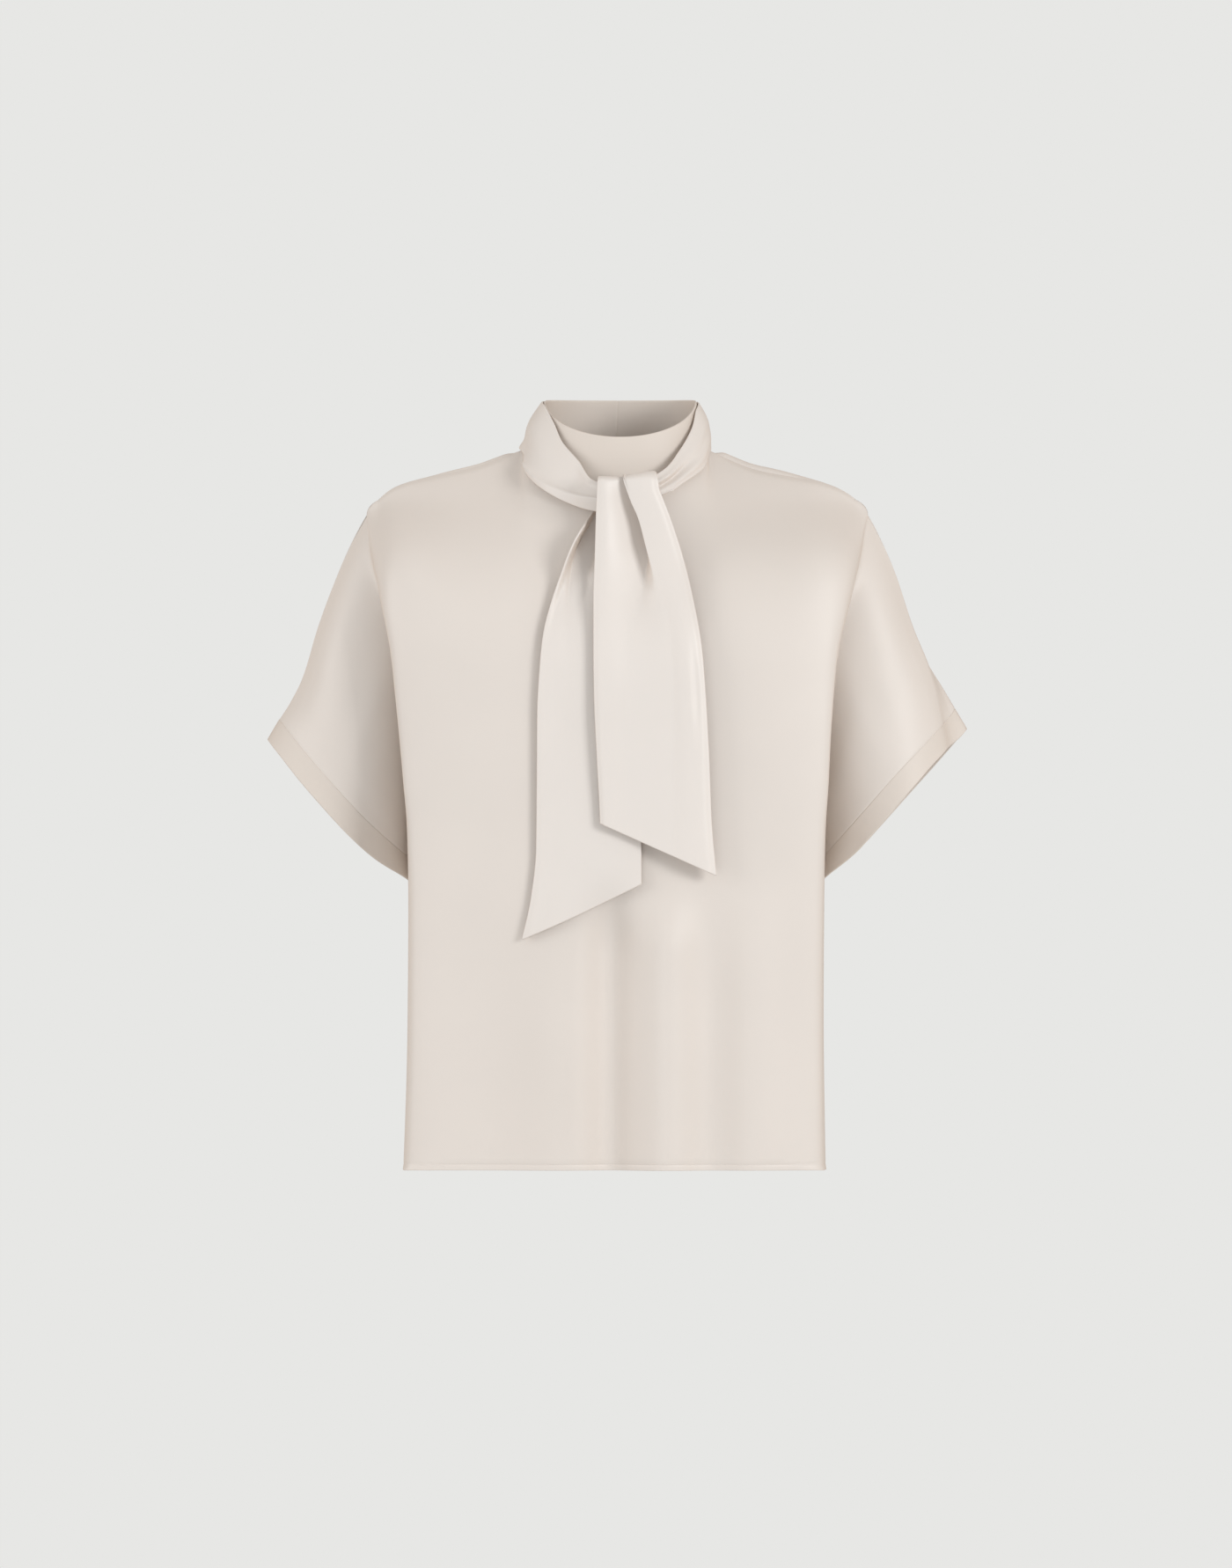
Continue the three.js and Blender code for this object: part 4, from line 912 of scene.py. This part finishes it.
def front_tail_points():
    """The front tail comes from behind over the knot, falls in a pleat below it and hangs
    down to a slanting end, standing off the back tail and the chest."""
    columns_across = near_ends(np.linspace(0, 1, 101), (0.004, 0.009), (0.004, 0.009))
    over = OVER_KNOT
    across, run = np.meshgrid(columns_across, np.linspace(over["start"], over["stop"], 26))
    turned = turn_line(run)
    high = bell(run, *TURN_BELL)
    x, sunk = pleated(across, turned["left"], turned["right"], turned["z"])
    slope = TURN_SLOPE
    lobe_lift = slope["rise"] * smooth((x - slope["x"]) / slope["run"]) - slope["low"]
    out = TURN_LIFT - sunk * smooth((run - over["start"]) / over["opening"])
    level = np.sin(math.pi / 2 * np.clip((run - over["level"]) / over["level_run"], 0, 1))
    y = turned["y"] - out * level
    z = turned["z"] + out * (1 - level) * over["rise"] + (lobe_lift + TURN_LIFT) * high
    turning = np.stack([x, y, z], axis=-1)

    across, down = np.meshgrid(columns_across, TAIL_ROWS)
    falling = FRONT_HANG
    top = FRONT_TAIL["z"][0] - falling["top"]
    z = mix(top, mix(*FRONT_TAIL_END, across), down)
    left, right = at_height(FRONT_TAIL, "left", z), at_height(FRONT_TAIL, "right", z)
    x, sunk = pleated(across, left, right, z)
    z = mix(top, mix(*FRONT_TAIL_END, (x - falling["edge"]) / falling["width"]), down)
    hang = TAIL_HANG["front"] + TURN_LIFT
    depth = soft_max(hang - falling["back"], lying_depth("front", x, z), falling["bend"])
    depth = mix(hang, depth, smooth((top - z) / falling["run"])) - sunk
    depth = depth + tail_waves("front", across, z)
    hanging = np.stack([x, -depth, z], axis=-1)
    return blur_across(np.concatenate([turning, hanging]), 3)


def back_tail_points():
    """The back tail comes out below the knot, hollow beside a rolled edge, and hangs down
    to a slanting end, standing off the chest."""
    across = near_ends(np.linspace(0, 1, 97), (0.004, 0.009), (0.004, 0.009))
    across, down = np.meshgrid(across, TAIL_ROWS)
    z = mix(BACK_TAIL["z"][0], mix(*BACK_TAIL_END, across), down)
    left = at_height(BACK_TAIL, "left", z)
    x = mix(left, at_height(BACK_TAIL, "right", z), across)
    hollow = {name: at_height(BACK_HOLLOW, name, z) for name in BACK_HOLLOW if name != "z"}
    sunk = hollow["depth"] * bump(x, hollow["x"], hollow["left"], hollow["right"])
    rolled = hollow["roll"] * bell(x, left, ROLL_WIDTH)
    sunk = sunk + CURL["back"] * bell(across, 0, CURL["left_run"]) - rolled
    begin = BACK_TAIL_START
    hang = mix(begin["depth"], TAIL_HANG["back"], smooth((begin["z"] - z) / begin["run"]))
    depth = soft_max(hang, lying_depth("back", x, z), BACK_BEND) - sunk
    depth = depth + tail_waves("back", across, z)
    depth = np.maximum(depth, front_face(x, z) + LAYER_LOW["back"])
    return blur_across(np.stack([x, -depth, z], axis=-1), 2)


def knot_points():
    """The turn over the knot: across its width, and from behind over the top to the front."""
    across = near_ends(np.linspace(0, 1, 41), (0.01, 0.02), (0.01, 0.02))
    run = near_ends(np.linspace(0, 1, 49), (0.006,), (0.006,))
    across, run = np.meshgrid(across, run)
    turned = turn_line(run)
    x = mix(turned["left"], turned["right"], mix(KNOT["margin"], 1 - KNOT["margin"], across))
    low = KNOT["low"] * smooth((KNOT["x"] - x) / KNOT["run"]) * bell(run, *TURN_BELL)
    y = turned["y"] + KNOT["back"] * smooth((run - KNOT["start"]) / KNOT["over"])
    return np.stack([x, y, turned["z"] - low - KNOT["inside"]], axis=-1)


# ---------------------------------------------------------------- button and loop

# Sizes of the button, its place from the slit and down the back, and its gap to the cloth.
BUTTON = dict(radius=4.5, thick=2.4, from_slit=5.6, down=0.32, clear=0.5)
# Its outline: shares of its radius and its height.
BUTTON_PROFILE = ((0, 0), (0.8, 0), (1, 0.25), (1, 0.55), (0.75, 0.9), (0.35, 1), (0, 1))
# The thread's radius and gaps, where its two ends are sewn, and how far round it goes.
LOOP = dict(thread=0.45, clear=0.35, root=-3.2, spread=3.2, turn=1.95)


def slit_frame():
    """Place and directions beside the slit: edge, across, down and out of the cloth."""
    def at(cell, row):
        """Point of the back's right half."""
        cell, row = np.array([float(cell)]), np.array([float(row)])
        return panel_points("back", "right", cell, row)[0]

    edge = mix(at(0, RIDGE["row"]), at(0, 1), BUTTON["down"]) + np.array([SLIT_HALF, 0, 0])
    far = mix(at(1, RIDGE["row"]), at(1, 1), BUTTON["down"])
    across = unit(far - edge)
    down = unit(at(0, 1) - at(0, 0))
    return edge, across, down, unit(np.cross(across, down))


SMALLEST = 0.02        # radius left open at the middle of the button before its cap


def button_mesh(name):
    """The covered button: a rounded profile turned about the axis out of the cloth."""
    edge, across, down, normal = slit_frame()
    profile = np.array(BUTTON_PROFILE)
    run = np.linspace(0, len(profile) - 1, 25)
    out = np.interp(run, np.arange(len(profile)), profile[:, 0]) * BUTTON["radius"]
    up = np.interp(run, np.arange(len(profile)), profile[:, 1]) * BUTTON["thick"]
    out = np.maximum(out, SMALLEST)
    angle = np.linspace(0, 2 * math.pi, 49)
    seat = edge + across * BUTTON["from_slit"] + normal * BUTTON["clear"]
    other = np.cross(normal, across)
    ring = np.cos(angle)[None, :, None] * across + np.sin(angle)[None, :, None] * other
    points = seat + out[:, None, None] * ring + up[:, None, None] * normal
    return tube_mesh(name, points)


def tube_mesh(name, points):
    """Closed skin over rings of points: each row is a ring whose last point is its
    first, and the first and last rings are shut by a quad fan."""
    rows, cols = points.shape[:2]
    index = np.arange(rows * cols).reshape(rows, cols)
    index[:, -1] = index[:, 0]
    a, b = index[:-1, :-1].ravel(), index[:-1, 1:].ravel()
    d, c = index[1:, :-1].ravel(), index[1:, 1:].ravel()
    quads = np.stack([a, b, c, d], axis=1)
    count = cols - 1
    half = np.arange(0, count // 2 - 1)

    def cap(ring, turn):
        """Quads that join each point of a ring to the one across from it."""
        left, right = ring[half], ring[half + 1]
        far_left, far_right = ring[(count - half) % count], ring[(count - half - 1) % count]
        fan = np.stack([left, far_left, far_right, right], axis=1)
        return fan[:, ::-1] if turn else fan

    ends = [cap(index[0], False), cap(index[-1], True)]
    quads = np.concatenate([quads] + ends)
    return make_mesh(name, points.reshape(-1, 3) * MM, quads)


def loop_mesh(name):
    """The thread loop: a round thread along a line from the slit's other edge, round
    the button and back."""
    edge, across, down, normal = slit_frame()
    around = BUTTON["radius"] + LOOP["thread"] + LOOP["clear"]
    angle = np.linspace(-LOOP["turn"], LOOP["turn"], 33)
    root, spread = LOOP["root"], LOOP["spread"]
    out = np.concatenate([[root], BUTTON["from_slit"] + around * np.cos(angle), [root]])
    low = np.concatenate([[-spread], around * np.sin(angle), [spread]])
    knots = np.arange(len(out), dtype=float)
    run = np.linspace(0, len(out) - 1, 141)
    out, low = np.interp(run, knots, out), np.interp(run, knots, low)
    lift = normal * (LOOP["thread"] + LOOP["clear"])
    line = edge + out[:, None] * across + low[:, None] * down + lift
    way = unit(np.gradient(line, axis=0))
    side = unit(np.cross(way, normal))[:, None, :]
    up = np.cross(side[:, 0], way)[:, None, :]
    turn = np.linspace(0, 2 * math.pi, 13)[None, :, None]
    ring = np.cos(turn) * side + np.sin(turn) * up
    return tube_mesh(name, line[:, None, :] + LOOP["thread"] * ring)


# ---------------------------------------------------------------- materials


def link(tree, source, output, target, socket):
    """Joins one node's output to another's input."""
    tree.links.new(source.outputs[output], target.inputs[socket])


def add_node(tree, kind, inputs=None, **settings):
    """A new node of a kind, with its settings and the constants of its own inputs."""
    node = tree.nodes.new(kind)
    for name, value in settings.items():
        setattr(node, name, value)
    for socket, value in (inputs or {}).items():
        node.inputs[socket].default_value = value
    return node


# Sockets of a colour mix, which share their names with those of its other kinds.
MIX_A, MIX_B, MIX_RESULT = 6, 7, 2


def satin(name, light, deep, rough):
    """Satin: a pale colour that deepens a little in slow patches, painted shade that
    darkens and warms it to the deep colour at a grazing angle, light through the cloth
    in that deep colour, a soft gloss, and the fine ribs of its weave. Its patches and
    ribs follow the cloth's own place in space."""
    material = bpy.data.materials.new(name)
    material.use_nodes = True
    tree = material.node_tree
    tree.nodes.clear()
    out = add_node(tree, "ShaderNodeOutputMaterial")
    cloth = add_node(tree, "ShaderNodeBsdfPrincipled", {
        "Specular IOR Level": 0.42, "Sheen Weight": 0.35, "Sheen Roughness": 0.45,
        "Sheen Tint": (1.0, 0.97, 0.93, 1)})
    through = add_node(tree, "ShaderNodeBsdfTranslucent", {"Color": (*deep, 1)})
    both = add_node(tree, "ShaderNodeMixShader", {"Fac": 0.18})
    place = add_node(tree, "ShaderNodeTexCoord")
    patches = add_node(tree, "ShaderNodeTexNoise", {"Scale": 9.0, "Detail": 3.0})
    link(tree, place, "Object", patches, "Vector")
    ramp = add_node(tree, "ShaderNodeValToRGB")
    ramp.color_ramp.elements[0].position = 0.30
    ramp.color_ramp.elements[0].color = (*[0.97 * c for c in light], 1)
    ramp.color_ramp.elements[1].position = 0.72
    ramp.color_ramp.elements[1].color = (*light, 1)
    link(tree, patches, "Fac", ramp, "Fac")
    # Painted shade: at a grazing angle the base colour darkens and warms to the deep colour.
    edge = add_node(tree, "ShaderNodeLayerWeight", {"Blend": 0.16})
    painted_grazing_shade = add_node(tree, "ShaderNodeMix", {MIX_B: (*deep, 1)}, data_type="RGBA")
    link(tree, edge, "Facing", painted_grazing_shade, "Factor")
    link(tree, ramp, "Color", painted_grazing_shade, MIX_A)
    link(tree, painted_grazing_shade, MIX_RESULT, cloth, "Base Color")
    gloss = add_node(tree, "ShaderNodeMapRange", {"To Min": rough - 0.04, "To Max": rough + 0.05})
    link(tree, patches, "Fac", gloss, "Value")
    link(tree, gloss, "Result", cloth, "Roughness")
    ribs = add_node(tree, "ShaderNodeMath", operation="ADD")
    for socket, (direction, scale) in enumerate((("X", 520.0), ("Z", 430.0))):
        wave = add_node(tree, "ShaderNodeTexWave", {
            "Scale": scale, "Distortion": 1.5, "Detail": 1.0}, bands_direction=direction)
        link(tree, place, "Object", wave, "Vector")
        link(tree, wave, "Fac", ribs, socket)
    weave = add_node(tree, "ShaderNodeBump", {"Strength": 0.06, "Distance": 0.0002})
    link(tree, ribs, "Value", weave, "Height")
    link(tree, weave, "Normal", cloth, "Normal")
    link(tree, cloth, "BSDF", both, 1)
    link(tree, through, "BSDF", both, 2)
    link(tree, both, "Shader", out, "Surface")
    return material


# ---------------------------------------------------------------- the pieces

# Colours of the cloth face on, and the warmer one: painted shade at a grazing angle, and the
# colour of light through the cloth.
IVORY = (0.785, 0.735, 0.687)
IVORY_PAINTED_SHADE_AND_THROUGH = (0.72, 0.56, 0.43)
# A darker copy of the same ivory: painted shade on the collar and the sleeve bands.
PAINTED_SHADE_IVORY = (0.75, 0.69, 0.63)
# A lighter copy of the same ivory: painted light on the scarf, carried by the scarf's satin.
SCARF_PAINTED_LIGHT_IVORY = (0.82, 0.779, 0.739)
body_satin = satin("body_satin", IVORY, IVORY_PAINTED_SHADE_AND_THROUGH, 0.45)
scarf_satin = satin("scarf_satin", SCARF_PAINTED_LIGHT_IVORY, IVORY_PAINTED_SHADE_AND_THROUGH, 0.40)
painted_shade_satin = satin("painted_shade_satin", PAINTED_SHADE_IVORY, IVORY_PAINTED_SHADE_AND_THROUGH, 0.50)
button_satin = satin("button_satin", IVORY, IVORY_PAINTED_SHADE_AND_THROUGH, 0.40)


def finish_piece(obj, node, slot, material, **facts):
    """Gives a piece its finish and its place in the frame, and hides the frame's own part for it.
    """
    obj.data.materials.append(material)
    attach(obj, "root")
    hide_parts(node)
    return obj


front_points = front_points - front_normals * seam_sink(front_points)[..., None]
back_points = back_points - back_normals * seam_sink(back_points)[..., None]
blouse_front = make_wall(
    "blouse_front", front_points, CLOTH, panel_cloth("front"), normals=front_normals)
blouse_back = make_wall(
    "blouse_back", back_points, CLOTH, panel_cloth("back"), flip=-1.0, normals=back_normals)
collar = make_wall("collar", collar_points(), DOUBLED)
band_left = make_wall("band_left", band_points("left"), DOUBLED, ring=True)
band_right = make_wall("band_right", band_points("right"), DOUBLED, ring=True, flip=-1.0)
scarf_round_neck = make_wall("scarf_round_neck", wrap_points(), DOUBLED, flip=-1.0)
scarf_front = make_wall("scarf_front_end", front_tail_points(), DOUBLED)
scarf_back = make_wall("scarf_back_end", back_tail_points(), DOUBLED)
scarf_knot = make_wall("scarf_knot", knot_points(), DOUBLED)
button = button_mesh("covered_button")
loop = loop_mesh("thread_loop")

finish_piece(
    blouse_front, "front_panel", "satin", body_satin,
    flat=(0.78, 0.61), held="hung", rests_on=["blouse_back"], area=0.350)
finish_piece(
    blouse_back, "back_panel", "satin", body_satin,
    flat=(0.78, 0.61), held="hung", rests_on=["collar"], area=0.345)
# The collar wears the darker copy of the satin: painted shade.
finish_piece(
    collar, "collar_band", "satin", painted_shade_satin,
    flat=(0.44, 0.05), held="folded", rests_on=["blouse_back", "blouse_front"], area=0.0212)
# The sleeve bands wear the darker copy of the satin: painted shade.
for obj, node in ((band_left, "sleeve_band_left"), (band_right, "sleeve_band_right")):
    finish_piece(
        obj, node, "satin", painted_shade_satin,
        flat=(0.42, 0.0195), held="folded", rests_on=["blouse_back", "blouse_front"], area=0.0081)
finish_piece(
    scarf_round_neck, "scarf_neck_wrap", "scarf_satin", scarf_satin,
    flat=(0.44, 0.045), held="draped", rests_on=["collar"], area=0.018)
finish_piece(
    scarf_front, "scarf_front_tail", "scarf_satin", scarf_satin,
    flat=(0.105, 0.34), held="hung", rests_on=["scarf_back_end", "blouse_front"], area=0.0305)
finish_piece(
    scarf_back, "scarf_back_tail", "scarf_satin", scarf_satin,
    flat=(0.10, 0.37), held="hung", rests_on=["blouse_front"], area=0.0270)
finish_piece(
    scarf_knot, "scarf_knot_turn", "scarf_satin", scarf_satin,
    flat=(0.05, 0.031), held="folded", rests_on=["scarf_round_neck"], area=0.0015)
finish_piece(button, "back_button", "covered_button", button_satin)
finish_piece(loop, "back_button_loop", "covered_button", button_satin)

# ---------------------------------------------------------------- floor, light, camera

BACKDROP = (0.799, 0.799, 0.783)
WORLD_FILL = 0.64      # brightness of the even fill
LIGHT_WHITE = (1.0, 0.99, 0.975)
FLOOR = dict(radius=0.6, z=-1.05, colour=(0.75, 0.75, 0.74), roughness=0.8)
AIM = (0, 0, -0.3)     # point that the lamps are turned towards
# Lamps: place and size in metres, and power in watts.
LAMPS = {
    "key": dict(place=(2.35, -2.5, 0.5), size=(1.2, 1.2), power=61),
    "left_fill": dict(place=(-3.2, -1.3, 0.6), size=(2.0, 2.0), power=44),
    "front_fill": dict(place=(-0.7, -3.6, -1.2), size=(2.4, 2.0), power=14),
}
# Distance of the camera, the height it takes in there, and its place.
CAMERA = dict(distance=14.0, tall=1.319, x=0.0004, y=-14.05, z=-0.2834)


def studio_floor():
    """A plain pale disc under the blouse."""
    bpy.ops.mesh.primitive_circle_add(
        vertices=96, radius=FLOOR["radius"], fill_type="NGON", location=(0, 0, FLOOR["z"]))
    floor = bpy.context.object
    floor.name = "floor"
    paint = bpy.data.materials.new("floor_paint")
    paint.use_nodes = True
    shader = paint.node_tree.nodes["Principled BSDF"]
    shader.inputs["Base Color"].default_value = (*FLOOR["colour"], 1)
    shader.inputs["Roughness"].default_value = FLOOR["roughness"]
    floor.data.materials.append(paint)


def studio_world():
    """A plain pale backdrop to the camera, and an even dimmer fill to the cloth."""
    world = bpy.data.worlds.new("studio")
    bpy.context.scene.world = world
    world.use_nodes = True
    tree = world.node_tree
    tree.nodes.clear()
    out = add_node(tree, "ShaderNodeOutputWorld")
    seen = add_node(tree, "ShaderNodeBackground", {"Color": (*BACKDROP, 1)})
    lit = add_node(
        tree, "ShaderNodeBackground", {"Color": (*LIGHT_WHITE, 1), "Strength": WORLD_FILL})
    path = add_node(tree, "ShaderNodeLightPath")
    both = add_node(tree, "ShaderNodeMixShader")
    link(tree, path, "Is Camera Ray", both, "Fac")
    link(tree, lit, "Background", both, 1)
    link(tree, seen, "Background", both, 2)
    link(tree, both, "Shader", out, "Surface")


def softbox(name, place, size, power):
    """A rectangular area light at a place, turned towards the blouse."""
    data = bpy.data.lights.new(name, "AREA")
    data.shape = "RECTANGLE"
    data.size, data.size_y = size
    data.energy = power
    lamp = put_object(name, data)
    way = np.array(AIM, float) - np.array(place, float)
    lamp.location = place
    lamp.rotation_euler = (
        math.acos(-way[2] / np.linalg.norm(way)), 0, math.atan2(way[1], way[0]) - math.pi / 2)


def camera():
    """A long lens, level with the middle of the blouse's height."""
    data = bpy.data.cameras.new("camera")
    data.sensor_width = 36.0
    data.lens = data.sensor_width * CAMERA["distance"] / CAMERA["tall"]
    data.clip_end = 100.0
    lens = put_object("camera", data)
    lens.location = (CAMERA["x"], CAMERA["y"], CAMERA["z"])
    lens.rotation_euler = (math.pi / 2, 0, 0)
    bpy.context.scene.camera = lens


studio_floor()
studio_world()
for name, lamp in LAMPS.items():
    softbox(name, **lamp)
camera()
scene = bpy.context.scene
scene.view_settings.view_transform = "Standard"
scene.view_settings.look = "None"
